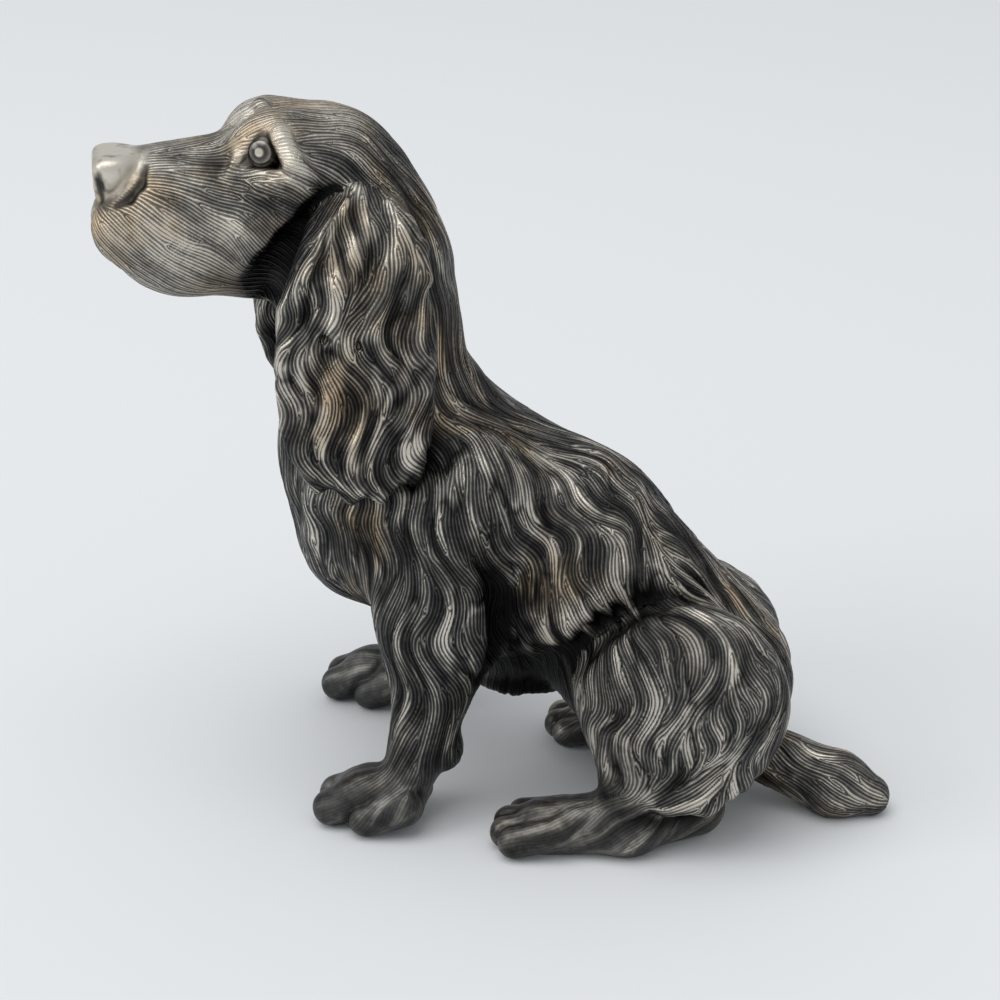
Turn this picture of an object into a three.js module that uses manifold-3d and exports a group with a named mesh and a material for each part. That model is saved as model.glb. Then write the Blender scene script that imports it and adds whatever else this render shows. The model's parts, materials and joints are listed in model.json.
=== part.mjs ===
// Seated long-coated dog, a hollow silver-toned casting in sections, pinned together.
// Millimetres, +Z up, the dog faces -X and its left side is -Y.
import * as THREE from 'three';
import { mergeVertices } from 'three/addons/utils/BufferGeometryUtils.js';
import Module from 'manifold-3d';

const wasm = await Module();
wasm.setup();

// Walls and fits
const wall = 4; // thickness of the hollow castings
const headWall = 6.5; // the head is thicker, to carry the eye sockets
const fitGap = 0.3; // clearance between neighbouring pieces
const pinRadius = 1.6;
const pinReach = 4.5; // how far a pin goes into a limb
const pinInside = 1.2; // how far a pin stands into the hollow
const seatDepth = 9; // length of the thick collar on each side of the neck joint
const sleeveWall = 2.6;
const boreRadius = 14.5; // opening through the neck collar
const lugRadius = 4.2; // lugs inside the body that carry the seam pins
const lugHalf = 6.5;
const plateRadius = 8.5; // cover of the core opening under the belly
const plateThick = 2.4;
const plateLedge = 2.2; // width of the ledge that the cover rests on
const plateX = 6;

// Body: ball centres on the median plane and their radii
const chest = { at: [-20, 0, 84], radius: 36 };
const loin = { at: [17, 0, 72], radius: 29 };
const rump = { at: [54, -6, 37], radius: 30 };
const belly = { at: [3, 0, 53.5], radii: [22, 22, 24] };
const breast = { at: [-43, 0, 73], radii: [13, 17, 18] };
const chestFlat = 0.86; // width of the ribs against their depth
const rumpFlat = 0.92;
const neckX = -36;
const neck = { low: 102, high: 150, lowRadius: 24, highRadius: 22 };
const neckJoint = 138; // height of the joint between head and body

// Main locks of the coat, root to tip, as places on the flank along X and Z
const locks = [
  [[-24, 130], [-22, 122], [-18, 115]],
  [[-46, 112], [-45, 101], [-44, 90], [-46, 80], [-44, 68]],
  [[12, 103], [18, 95], [23, 86], [20, 76], [22, 67], [19, 58]],
  [[27, 90], [34, 83], [37, 76], [34, 70]],
  [[10, 53], [16, 56], [26, 60], [33, 66], [40, 70]],
];
const lock = { radius: 5, sunk: 3.3, tip: 3.5 }; // a round ridge, sunk into the skin and thinner at its ends

// Head, given facing straight ahead and then turned about the neck
const headTurn = THREE.MathUtils.degToRad(21);
const skull = { at: [-49, 0, 169], radii: [25, 24, 26] };
const nape = { from: [-42, 0, 161], low: 135, radius: 23 };
const brow = { at: [-60, 8.5, 184.5], radii: [11, 8, 9.5] };
const cheek = { at: [-58, 13, 165], radii: [17, 12, 18] };
const bridge = { from: [-64, 0, 177], to: [-95, 0, 176], radii: [12, 9.5] };
const flew = { at: [-84, 7.5, 165], radii: [20.5, 10.5, 18] };
const lip = { at: [-99.6, 4.5, 165.3], radii: [9, 7.5, 9.5] }; // front of the upper lip
const palate = { from: [-60, 0, 166], to: [-88, 0, 164], radii: [14, 11] }; // hollow of the muzzle
const jaw = { from: [-66, 0, 153], to: [-86, 0, 153], radii: [10, 6.5], width: 1.2 };
const nose = { at: [-103, 0, 181.5], radii: [9.8, 10.8, 9.6], front: -107.6, top: 186.1 };
const nostril = { at: [-105.4, 9, 177.4], radius: 2.2 };
const eye = { at: [-63.5, 11.5, 185.5], radius: 5 };
const eyeHollow = { at: [-65.3, 17.4, 186.2], radii: [5.8, 5.2, 5.6] }; // between the lids
const cheekHollow = [
  { at: [-57, 22, 165], radius: 2.5 },
  { at: [-60.5, 21, 158], radius: 5 },
  { at: [-63.5, 18.5, 151], radius: 5.6 },
  { at: [-63, 9, 145], radius: 4 },
];

// Ear, root to tip, distances outward from the head's median plane
const ear = [
  { at: [-44, 28, 166], radii: [13.5, 6, 14] },
  { at: [-43, 34, 141], radii: [21, 5.5, 27] },
  { at: [-43, 37.5, 117.5], radii: [19.5, 5.5, 19.5] },
];
const earPins = { front: [-51, 166], rear: [-40, 166] };

// Legs
const foreSizes = { shoulder: 19, elbow: 16.5, wrist: 8.5, flat: 0.78, paw: [16, 11.5, 8.5], ankle: 8.8 };
const ribs = chest.radius * chestFlat; // half the width of the chest, where the shoulders lie
const shoulderIn = 11; // how far the shoulders and elbows lie inside the side of the ribs
const elbowIn = 4;
const foreLegs = {
  left: {
    shoulder: [-5, shoulderIn - ribs, 90], elbow: [-11, elbowIn - ribs, 60],
    wrist: [-15, -33, 25], paw: [-30, -38.5, 7.2],
  },
  right: {
    shoulder: [-9, ribs - shoulderIn, 86], elbow: [-17, ribs - elbowIn, 60],
    wrist: [-27, 30, 22], paw: [-46.5, 31, 6.8],
  },
};
const forePins = { upper: [-8, 80], lower: [-13, 64] };
const hindSizes = { shank: 9, ankle: 7.5, heel: 8.5, instep: 8.6, toes: 8 };
const hindLegs = {
  left: {
    haunch: [56, -31, 43], radii: [29, 17, 29], knee: [43, -37, 30],
    instep: [43, -39, 8.5], heel: [60, -27, 8.5], toes: [14.5, -42, 6.2],
  },
  right: {
    haunch: [51, 19, 38], radii: [28, 16, 24], knee: [38, 25, 28],
    instep: [37, 21.5, 9.5], heel: [58, 21, 8.5], toes: [19, 19.5, 6.5],
  },
};
const hindPins = { front: [47, 46], rear: [61, 40] };
const cleft = { wide: 1.6, deep: 9, pitch: 5.6, above: 1 }; // the cuts between the toes

// Tail, lying on the ground behind the rump
const tailBones = [
  { at: [76, -2, 13], radius: 8.5 },
  { at: [98, -7, 7.5], radius: 9 },
  { at: [107.5, -7, 5], radius: 5.8 },
];
const tailPinHeight = 16;

// Softness of the blends between forms
const blends = { body: 6, neck: 18, breast: 10, lock: 3, limb: 7, face: 6, lip: 4, hollow: 2, nose: 2, ear: 8 };

// Fineness of the surfaces
const grain = { body: 5.4, head: 4.8, limb: 6.6, ear: 5.2, bodyHollow: 14, headHollow: 9 };
const weld = 0.05; // edges shorter than this are closed up after a cut
const pinSides = 8;
const roundSides = 16;

// Fields: each form is negative inside, and carries the box that holds it
const span = (points, reach) => ({
  low: [0, 1, 2].map((i) => Math.min(...points.map((p) => p[i])) - reach),
  high: [0, 1, 2].map((i) => Math.max(...points.map((p) => p[i])) + reach),
});

function egg({ at, radii }) {
  const value = (p) => {
    const q = p.map((v, i) => (v - at[i]) / radii[i]);
    const steep = Math.hypot(...q.map((v, i) => v / radii[i]));
    const k = Math.hypot(...q);
    return steep > 0 ? (k * (k - 1)) / steep : -Math.min(...radii);
  };
  return { value, ...span([at], Math.max(...radii)) };
}

// A round bar between two balls; flat is its width in Y against its depth
function bar(from, to, r0, r1, flat = 1) {
  const run = to.map((v, i) => v - from[i]);
  const length2 = run.reduce((s, v) => s + v * v, 0);
  const value = (p) => {
    const along = p.reduce((s, v, i) => s + (v - from[i]) * run[i], 0) / length2;
    const t = Math.min(Math.max(along, 0), 1);
    const d = p.map((v, i) => v - from[i] - t * run[i]);
    const away = Math.hypot(d[0], d[1] / flat, d[2]) - (r0 + t * (r1 - r0));
    return away * Math.min(1, flat);
  };
  return { value, ...span([from, to], Math.max(r0, r1) * Math.max(1, flat)) };
}

function softMin(a, b, k) {
  const h = Math.max(k - Math.abs(a - b), 0) / k;
  return Math.min(a, b) - (h * h * k) / 4;
}

function blend(k, ...forms) {
  const value = (p) => forms.map((f) => f.value(p)).reduce((a, b) => softMin(a, b, k));
  return { value, ...span(forms.flatMap((f) => [f.low, f.high]), 0) };
}

// A form with others taken out of it
function carved(k, form, ...cutters) {
  const value = (p) => cutters.reduce((v, cutter) => -softMin(-v, cutter.value(p), k), form.value(p));
  return { ...form, value };
}

// Bars through a row of balls
function string(balls) {
  return balls.slice(1).map((to, i) => bar(balls[i].at, to.at, balls[i].radius, to.radius));
}

// The same form on both sides of the median plane
function paired(form) {
  const value = (p) => form.value([p[0], Math.abs(p[1]), p[2]]);
  const wide = Math.max(Math.abs(form.low[1]), Math.abs(form.high[1]));
  return { value, low: [form.low[0], -wide, form.low[2]], high: [form.high[0], wide, form.high[2]] };
}

function turnPoint([x, y, z], angle) {
  const c = Math.cos(angle);
  const s = Math.sin(angle);
  return [neckX + (x - neckX) * c - y * s, (x - neckX) * s + y * c, z];
}

function turned(form) {
  const corners = [0, 1, 2, 3].map((i) => [
    (i & 1 ? form.low : form.high)[0], (i & 2 ? form.low : form.high)[1], form.low[2],
  ]);
  const box = span(corners.map((p) => turnPoint(p, headTurn)), 0);
  box.high[2] = form.high[2];
  return { value: (p) => form.value(turnPoint(p, -headTurn)), ...box };
}

function slope(field, p) {
  const step = 0.05;
  const g = [0, 1, 2].map((i) => {
    const shift = (d) => field.value(p.map((v, j) => (j === i ? v + d : v)));
    return (shift(step) - shift(-step)) / (2 * step);
  });
  const size = Math.hypot(...g) || 1;
  return { size, unit: g.map((v) => v / size) };
}

// Distance from a point inside a field to its surface along a direction
function reachOf(field, from, way) {
  let near = 0;
  let far = 400;
  for (let i = 0; i < 40; i += 1) {
    const mid = (near + far) / 2;
    if (field.value(from.map((v, j) => v + way[j] * mid)) < 0) near = mid;
    else far = mid;
  }
  return near;
}

// Where a square of the grid has only two opposite corners inside, takes a third one in
function unpinch(values, [nx, ny, nz], cell) {
  const steps = [ny * nz, nz, 1];
  let found = false;
  for (let n = 0; n < (nx - 1) * steps[0] - nz - 1; n += 1) {
    for (let u = 0; u < 3; u += 1) {
      const [a, b] = [n + steps[u], n + steps[(u + 1) % 3]];
      const c = a + steps[(u + 1) % 3];
      const [inN, inA, inB, inC] = [n, a, b, c].map((i) => values[i] < 0);
      if (inN === inC && inA === inB && inN !== inA) {
        const open = inN ? [a, b] : [n, c];
        values[values[open[0]] < values[open[1]] ? open[0] : open[1]] = -cell / 100;
        found = true;
      }
    }
  }
  return found;
}

// Surface of a field as a closed net, moved outward by grow; level sets how deep it lies
function net(field, cell, { grow = 0, level = 0 } = {}) {
  const low = field.low.map((v) => v - 2 * cell);
  const count = field.high.map((v, i) => Math.ceil((v + 2 * cell - low[i]) / cell) + 1);
  const [nx, ny, nz] = count;
  const id = (i, j, k) => (i * ny + j) * nz + k;
  const place = (i, j, k) => [low[0] + i * cell, low[1] + j * cell, low[2] + k * cell];
  const level0 = { value: (p) => field.value(p) - level };
  const values = new Float64Array(nx * ny * nz);
  for (let i = 0; i < nx; i += 1) {
    for (let j = 0; j < ny; j += 1) {
      for (let k = 0; k < nz; k += 1) values[id(i, j, k)] = level0.value(place(i, j, k));
    }
  }
  let pinched = true;
  while (pinched) pinched = unpinch(values, count, cell);
  const corners = [...Array(8).keys()].map((c) => [c & 1, (c >> 1) & 1, (c >> 2) & 1]);
  const rims = corners.flatMap((a, i) => [1, 2, 4].filter((b) => !(i & b)).map((b) => [i, i | b]));
  const points = [];
  const slotOf = new Map();
  const settle = (start) => {
    let p = start;
    for (let turn = 0; turn < 3; turn += 1) {
      const { size, unit } = slope(level0, p);
      const move = level0.value(p) / size;
      p = p.map((v, i) => v - Math.max(-cell, Math.min(cell, move)) * unit[i]);
    }
    const { unit } = slope(level0, p);
    return p.map((v, i) => v + grow * unit[i]);
  };
  for (let i = 0; i < nx - 1; i += 1) {
    for (let j = 0; j < ny - 1; j += 1) {
      for (let k = 0; k < nz - 1; k += 1) {
        const at = corners.map(([a, b, c]) => values[id(i + a, j + b, k + c)]);
        const cuts = rims.filter(([a, b]) => at[a] < 0 !== at[b] < 0);
        if (cuts.length) {
          const sum = [0, 0, 0];
          cuts.forEach(([a, b]) => {
            const t = at[a] / (at[a] - at[b]);
            sum.forEach((s, m) => { sum[m] += corners[a][m] + t * (corners[b][m] - corners[a][m]); });
          });
          const base = place(i, j, k);
          slotOf.set(id(i, j, k), points.length);
          points.push(settle(base.map((v, m) => v + (sum[m] / cuts.length) * cell)));
        }
      }
    }
  }
  const faces = [];
  const addQuad = (quad, flip) => {
    const [a, b, c, d] = flip ? [...quad].reverse() : quad;
    const apart = (m, n) => Math.hypot(...points[m].map((v, i) => v - points[n][i]));
    if (apart(a, c) < apart(b, d)) faces.push(a, b, c, a, c, d);
    else faces.push(b, c, d, b, d, a);
  };
  for (let i = 1; i < nx - 1; i += 1) {
    for (let j = 1; j < ny - 1; j += 1) {
      for (let k = 1; k < nz - 1; k += 1) {
        const inside = values[id(i, j, k)] < 0;
        const around = (steps) => steps.map(([a, b, c]) => slotOf.get(id(i - a, j - b, k - c)));
        if (inside !== values[id(i + 1, j, k)] < 0) {
          addQuad(around([[0, 1, 1], [0, 0, 1], [0, 0, 0], [0, 1, 0]]), !inside);
        }
        if (inside !== values[id(i, j + 1, k)] < 0) {
          addQuad(around([[1, 0, 1], [1, 0, 0], [0, 0, 0], [0, 0, 1]]), !inside);
        }
        if (inside !== values[id(i, j, k + 1)] < 0) {
          addQuad(around([[1, 1, 0], [0, 1, 0], [0, 0, 0], [1, 0, 0]]), !inside);
        }
      }
    }
  }
  const geometry = new THREE.BufferGeometry();
  geometry.setAttribute('position', new THREE.Float32BufferAttribute(points.flat(), 3));
  geometry.setIndex(faces);
  return solidOf(geometry);
}

// Closes up the short edges and the needle faces that cuts leave in a surface
function closeUp(flat, index) {
  const point = (i) => [flat[3 * i], flat[3 * i + 1], flat[3 * i + 2]];
  const apart = (a, b) => {
    const q = point(b);
    return Math.hypot(...point(a).map((v, i) => v - q[i]));
  };
  const faces = [];
  const fan = Array.from({ length: flat.length / 3 }, () => new Set());
  const put = (n, f) => {
    faces[n] = f;
    f.forEach((v) => fan[v].add(n));
  };
  const take = (n) => {
    faces[n].forEach((v) => fan[v].delete(n));
    faces[n] = null;
  };
  for (let i = 0; i < index.length; i += 3) put(i / 3, Array.from(index.slice(i, i + 3)));
  const ringOf = (a) => new Set([...fan[a]].flatMap((n) => faces[n]).filter((v) => v !== a));
  const shared = (a, b) => [...fan[a]].filter((n) => fan[b].has(n));
  const join = (a, b) => {
    const ring = ringOf(a);
    if ([...ringOf(b)].filter((v) => ring.has(v)).length !== 2) return;
    shared(a, b).forEach(take);
    [...fan[b]].forEach((n) => {
      const f = faces[n].map((v) => (v === b ? a : v));
      take(n);
      put(n, f);
    });
  };
  const flip = (n, [a, b, c]) => {
    const other = shared(a, b).find((m) => m !== n);
    const d = faces[other].find((v) => v !== a && v !== b);
    if (shared(c, d).length) return;
    take(n);
    take(other);
    put(n, [a, d, c]);
    put(other, [d, b, c]);
  };
  for (let pass = 0; pass < 4; pass += 1) {
    for (let n = 0; n < faces.length; n += 1) {
      const short = [0, 1, 2].find((i) => faces[n] && apart(faces[n][i], faces[n][(i + 1) % 3]) < weld);
      if (short !== undefined) join(faces[n][short], faces[n][(short + 1) % 3]);
    }
    for (let n = 0; n < faces.length; n += 1) {
      if (faces[n]) {
        const lengths = faces[n].map((a, i) => apart(a, faces[n][(i + 1) % 3]));
        const half = (lengths[0] + lengths[1] + lengths[2]) / 2;
        const area = Math.sqrt(Math.max(0, lengths.reduce((m, v) => m * (half - v), half)));
        const long = lengths.indexOf(Math.max(...lengths));
        const thin = (2 * area) / lengths[long] < weld / 5;
        if (thin) flip(n, [0, 1, 2].map((i) => faces[n][(long + i) % 3]));
      }
    }
  }
  return faces.filter((f) => f).flat();
}

// Joining and cutting
function solidOf(geometry) {
  const bare = geometry.clone();
  bare.deleteAttribute('normal');
  bare.deleteAttribute('uv');
  const merged = mergeVertices(bare, 1e-4);
  return new wasm.Manifold(new wasm.Mesh({
    numProp: 3,
    vertProperties: Float32Array.from(merged.attributes.position.array),
    triVerts: Uint32Array.from(merged.index.array),
  }));
}

function block(low, high) {
  const size = high.map((v, i) => v - low[i]);
  const box = new THREE.BoxGeometry(...size);
  return solidOf(box.translate(...low.map((v, i) => v + size[i] / 2)));
}

// A round rod from one point to another
function rod(from, to, radius, sides = pinSides) {
  const a = new THREE.Vector3(...from);
  const b = new THREE.Vector3(...to);
  const geometry = new THREE.CylinderGeometry(radius, radius, a.distanceTo(b), sides);
  const turn = new THREE.Quaternion();
  turn.setFromUnitVectors(new THREE.Vector3(0, 1, 0), b.clone().sub(a).normalize());
  geometry.applyQuaternion(turn);
  const mid = a.add(b).multiplyScalar(0.5);
  return solidOf(geometry.translate(mid.x, mid.y, mid.z));
}

function ball(at, radius) {
  return solidOf(new THREE.SphereGeometry(radius, roundSides, roundSides / 2).translate(...at));
}

const less = (solid, ...cutters) => cutters.reduce((left, cutter) => left.subtract(cutter), solid);
const plus = (solid, ...others) => others.reduce((sum, other) => sum.add(other), solid);
const far = 300;
const ground = block([-far, -far, -far], [far, far, 0]);

// The forms of each casting
const sides = { left: -1, right: 1 };
const neckAt = (z) => [neckX, 0, z];
const outward = (p, side) => [p[0], p[1] * sides[side], p[2]];
const bodyCore = blend(
  blends.breast,
  blend(
    blends.neck,
    blend(
      blends.body,
      bar(chest.at, loin.at, chest.radius, loin.radius, chestFlat),
      bar(loin.at, rump.at, loin.radius, rump.radius, rumpFlat),
      egg(belly),
    ),
    bar(neckAt(neck.low), neckAt(neck.high), neck.lowRadius, neck.highRadius),
  ),
  egg(breast),
);
function lockForm(line, sign) {
  return string(line.map(([x, z], i) => {
    const wide = reachOf(bodyCore, [x, 0, z], [0, sign, 0]);
    const radius = i % (line.length - 1) ? lock.radius : lock.tip;
    return { at: [x, sign * (wide - lock.sunk), z], radius };
  }));
}

const coatLocks = Object.values(sides).flatMap((sign) => locks.flatMap((line) => lockForm(line, sign)));
const bodyForm = blend(blends.lock, bodyCore, ...coatLocks);
const face = blend(
  blends.lip,
  blend(
    blends.face,
    egg(skull),
    bar(nape.from, neckAt(nape.low), nape.radius, neck.highRadius),
    paired(egg(brow)),
    paired(egg(cheek)),
    bar(bridge.from, bridge.to, ...bridge.radii),
    bar(palate.from, palate.to, ...palate.radii.map((r) => r + wall)),
  ),
  paired(egg(flew)),
  paired(egg(lip)),
  bar(jaw.from, jaw.to, ...jaw.radii, jaw.width),
);
const nosePad = carved(
  blends.lip, egg(nose), { value: (p) => p[0] - nose.front }, { value: (p) => nose.top - p[2] },
); // a ball cut flat in front and on top
const headForm = turned(blend(
  blends.nose,
  carved(blends.hollow, face, paired(egg(eyeHollow)), paired(blend(blends.hollow, ...string(cheekHollow)))),
  nosePad,
));

const earForm = (side) => turned(blend(
  blends.ear,
  ...ear.map(({ at, radii }) => egg({ at: outward(at, side), radii })),
));

function foreForm(side) {
  const { shoulder, elbow, wrist, paw } = foreLegs[side];
  const ankle = [paw[0] + foreSizes.paw[0] / 4, paw[1], paw[2] + foreSizes.paw[2] / 3];
  return blend(
    blends.limb,
    bar(shoulder, elbow, foreSizes.shoulder, foreSizes.elbow, foreSizes.flat),
    bar(elbow, wrist, foreSizes.elbow, foreSizes.wrist, foreSizes.flat),
    bar(wrist, ankle, foreSizes.wrist, foreSizes.ankle),
    egg({ at: paw, radii: foreSizes.paw }),
  );
}

function hindForm(side) {
  const { haunch, radii, knee, instep, heel, toes } = hindLegs[side];
  return blend(
    blends.limb,
    egg({ at: haunch, radii }),
    bar(knee, instep, hindSizes.shank, hindSizes.ankle),
    bar(heel, instep, hindSizes.heel, hindSizes.instep),
    bar(instep, toes, hindSizes.instep, hindSizes.toes),
  );
}

const tailForm = blend(blends.lip, ...string(tailBones));

// Narrow cuts that part the toes of one foot
function toeClefts(tip, reach) {
  return [-1, 0, 1].map((i) => {
    const y = tip[1] + i * cleft.pitch;
    const low = [tip[0] - reach, y - cleft.wide / 2, cleft.above];
    return block(low, [tip[0] - reach + cleft.deep, y + cleft.wide / 2, far]);
  });
}

// Pieces, gathered by name
const pieces = {};
const grown = (form, cell) => net(form, cell, { grow: fitGap });
const hole = pinRadius + fitGap / 2;

// A pin on the line from a point, crossing a surface at a distance along a direction
function pinAcross(name, from, way, surface, inward, outwardReach) {
  const at = (d) => from.map((v, i) => v + way[i] * (surface + d));
  pieces[name] = rod(at(-inward), at(outwardReach), pinRadius);
  return rod(at(-inward - fitGap), at(outwardReach + fitGap), hole);
}

const bodySkin = net(bodyForm, grain.body);
const bodyCut = grown(bodyForm, grain.body);
const headSkin = net(headForm, grain.head);
const headCut = grown(turned(face), grain.head); // without the hollows, so an ear stays clear of their rims

// Pins of the limbs, ears and tail, and the holes that they need
const holes = { body: [], head: [] };
const limbHoles = {};
Object.entries(sides).forEach(([side, sign]) => {
  const limbs = { foreleg: forePins, hind_leg: hindPins };
  Object.entries(limbs).forEach(([limb, spots]) => {
    limbHoles[`${side}_${limb}`] = Object.entries(spots).map(([spot, [x, z]]) => {
      const from = [x, 0, z];
      const way = [0, sign, 0];
      const surface = reachOf(bodyForm, from, way);
      return pinAcross(`${side}_${limb}_pin_${spot}`, from, way, surface, wall + pinInside, pinReach);
    });
    holes.body.push(...limbHoles[`${side}_${limb}`]);
  });
  limbHoles[`${side}_ear`] = Object.entries(earPins).map(([spot, [x, z]]) => {
    const from = turnPoint([x, 0, z], headTurn);
    const end = turnPoint([x, sign, z], headTurn);
    const way = end.map((v, i) => v - from[i]);
    const surface = reachOf(headForm, from, way);
    return pinAcross(`${side}_ear_pin_${spot}`, from, way, surface, headWall + pinInside, pinReach);
  });
  holes.head.push(...limbHoles[`${side}_ear`]);
});
const tailFrom = [rump.at[0], tailBones[0].at[1], tailPinHeight];
const tailReach = reachOf(bodyForm, tailFrom, [1, 0, 0]);
const tailHole = pinAcross('tail_pin', tailFrom, [1, 0, 0], tailReach, wall + pinInside, pinReach);
holes.body.push(tailHole);

// Neck: thick collars with a bore, a sleeve inside and four pins
const neckRod = (half, radius) => rod(neckAt(neckJoint - half), neckAt(neckJoint + half), radius, roundSides);
const sleeveRadius = boreRadius - fitGap;
const bore = neckRod(seatDepth + wall, boreRadius);
const sleeve = neckRod(seatDepth, sleeveRadius);
const sleeveBore = neckRod(seatDepth + wall, sleeveRadius - sleeveWall);
const neckHoles = [1, 2, 3, 4].map((n) => {
  const above = n % 2 ? 1 : -1;
  const angle = (Math.PI / 2) * n + Math.PI / 4;
  const way = [Math.cos(angle), Math.sin(angle), 0];
  const from = neckAt(neckJoint + (above * seatDepth) / 2);
  const surface = reachOf(above > 0 ? headForm : bodyForm, from, way);
  const depth = surface - (sleeveRadius - sleeveWall);
  return pinAcross(`neck_pin_${n}`, from, way, surface, depth, -2 * fitGap);
});
pieces.neck_sleeve = less(sleeve, sleeveBore, ...neckHoles);

// Body shell with seam lugs and the core opening
const belowCollar = block([-far, -far, -far], [far, far, neckJoint - seatDepth]);
const bodyHollow = net(bodyCore, grain.bodyHollow, { level: -wall }).intersect(belowCollar);
const lugWays = [
  { from: chest.at, way: [-0.98, 0, -0.2] },
  { from: chest.at, way: [0.1, 0, -0.995] },
  { from: loin.at, way: [0.55, 0, 0.835] },
  { from: rump.at, way: [0.98, 0, 0.2] },
];
const lugSpots = lugWays.map(({ from, way }) => {
  const depth = reachOf(bodyForm, from, way) - wall - lugRadius / 2;
  return [from[0] + way[0] * depth, from[2] + way[2] * depth];
});
const acrossSeam = ([x, z], half, radius) => rod([x, -half, z], [x, half, z], radius);
const lugs = lugSpots.map((spot) => acrossSeam(spot, lugHalf, lugRadius).intersect(bodySkin));
const seamPinHalf = lugHalf - 2 * fitGap;
const seamHoles = lugSpots.map((spot) => acrossSeam(spot, seamPinHalf + fitGap, hole));
lugSpots.forEach((spot, i) => {
  pieces[`seam_pin_${i + 1}`] = acrossSeam(spot, seamPinHalf, pinRadius);
});
const bellyZ = belly.at[2] - reachOf(bodyForm, [plateX, 0, belly.at[2]], [0, 0, -1]);
const plateTop = bellyZ + plateThick;
const plateRod = (low, high, radius) => rod([plateX, 0, low], [plateX, 0, high], radius, roundSides);
pieces.core_plate = plateRod(bellyZ, plateTop, plateRadius);
const coreOpening = plus(
  plateRod(bellyZ - wall, plateTop + fitGap, plateRadius + fitGap),
  plateRod(bellyZ - wall, bellyZ + 3 * wall, plateRadius - plateLedge),
);
const bodyTop = block([-far, -far, neckJoint - fitGap / 2], [far, far, far]);
const ledge = plateRod(plateTop, plateTop + wall, plateRadius + plateLedge).intersect(bodySkin);
const bodyShell = less(
  plus(less(bodySkin, bodyHollow), ...lugs, ledge),
  bore, bodyTop, ground, coreOpening, ...neckHoles, ...seamHoles, ...holes.body,
);
pieces.torso_left = bodyShell.intersect(block([-far, -far, -far], [far, -fitGap / 2, far]));
pieces.torso_right = bodyShell.intersect(block([-far, fitGap / 2, -far], [far, far, far]));

// Head shell with eye sockets and nostrils
const aboveCollar = block([-far, -far, neckJoint + seatDepth], [far, far, far]);
const headHollow = net(turned(blend(
  blends.face,
  egg({ at: skull.at, radii: skull.radii.map((r) => r - headWall) }),
  bar(palate.from, palate.to, ...palate.radii),
)), grain.headHollow).intersect(aboveCollar);
const headFoot = block([-far, -far, -far], [far, far, neckJoint + fitGap / 2]);
const onHead = (p, side) => turnPoint(outward(p, side), headTurn);
const sockets = Object.keys(sides).map((side) => {
  pieces[`${side}_eye`] = ball(onHead(eye.at, side), eye.radius);
  return ball(onHead(eye.at, side), eye.radius + fitGap);
});
const nostrils = Object.keys(sides).map((side) => ball(onHead(nostril.at, side), nostril.radius));
pieces.head_shell = less(
  headSkin, headHollow, bore, headFoot, ...sockets, ...nostrils, ...neckHoles, ...holes.head,
);

// Limbs, ears and tail, each seated on the casting that it joins
Object.keys(sides).forEach((side) => {
  const legs = { foreleg: foreForm(side), hind_leg: hindForm(side) };
  const { paw } = foreLegs[side];
  const { toes } = hindLegs[side];
  const clefts = {
    foreleg: toeClefts(paw, foreSizes.paw[0]),
    hind_leg: toeClefts(toes, hindSizes.toes),
  };
  Object.entries(legs).forEach(([limb, form]) => {
    const name = `${side}_${limb}`;
    pieces[name] = less(net(form, grain.limb), bodyCut, ground, ...clefts[limb], ...limbHoles[name]);
  });
  const nearby = [bodyCut, headCut, grown(legs.foreleg, grain.limb)];
  pieces[`${side}_ear`] = less(net(earForm(side), grain.ear), ...nearby, ...limbHoles[`${side}_ear`]);
});
const hips = Object.keys(sides).map((side) => grown(hindForm(side), grain.limb));
pieces.tail = less(net(tailForm, grain.ear), bodyCut, ground, ...hips, tailHole);

// Meshes
const finishes = {
  silver: { color: 0x8a8782, roughness: 0.42, metalness: 1 },
  bronze: { color: 0xa8763e, roughness: 0.5, metalness: 1 },
};
const hidden = /pin|sleeve/;

function meshOf(name, solid) {
  const { vertProperties, triVerts } = solid.getMesh();
  const geometry = new THREE.BufferGeometry();
  geometry.setAttribute('position', new THREE.Float32BufferAttribute(vertProperties, 3));
  geometry.setIndex(closeUp(vertProperties, triVerts));
  geometry.computeVertexNormals();
  const finish = hidden.test(name) ? finishes.bronze : finishes.silver;
  const mesh = new THREE.Mesh(geometry, new THREE.MeshStandardMaterial(finish));
  mesh.name = name;
  return mesh;
}

const dog = new THREE.Group();
dog.name = 'dog_figurine';
Object.entries(pieces).forEach(([name, solid]) => dog.add(meshOf(name, solid)));
const box = new THREE.Box3().setFromObject(dog);
dog.children.forEach((mesh) => {
  mesh.geometry.translate(-(box.min.x + box.max.x) / 2, -(box.min.y + box.max.y) / 2, -box.min.z);
});

export default dog;
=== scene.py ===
import json
import math

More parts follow.
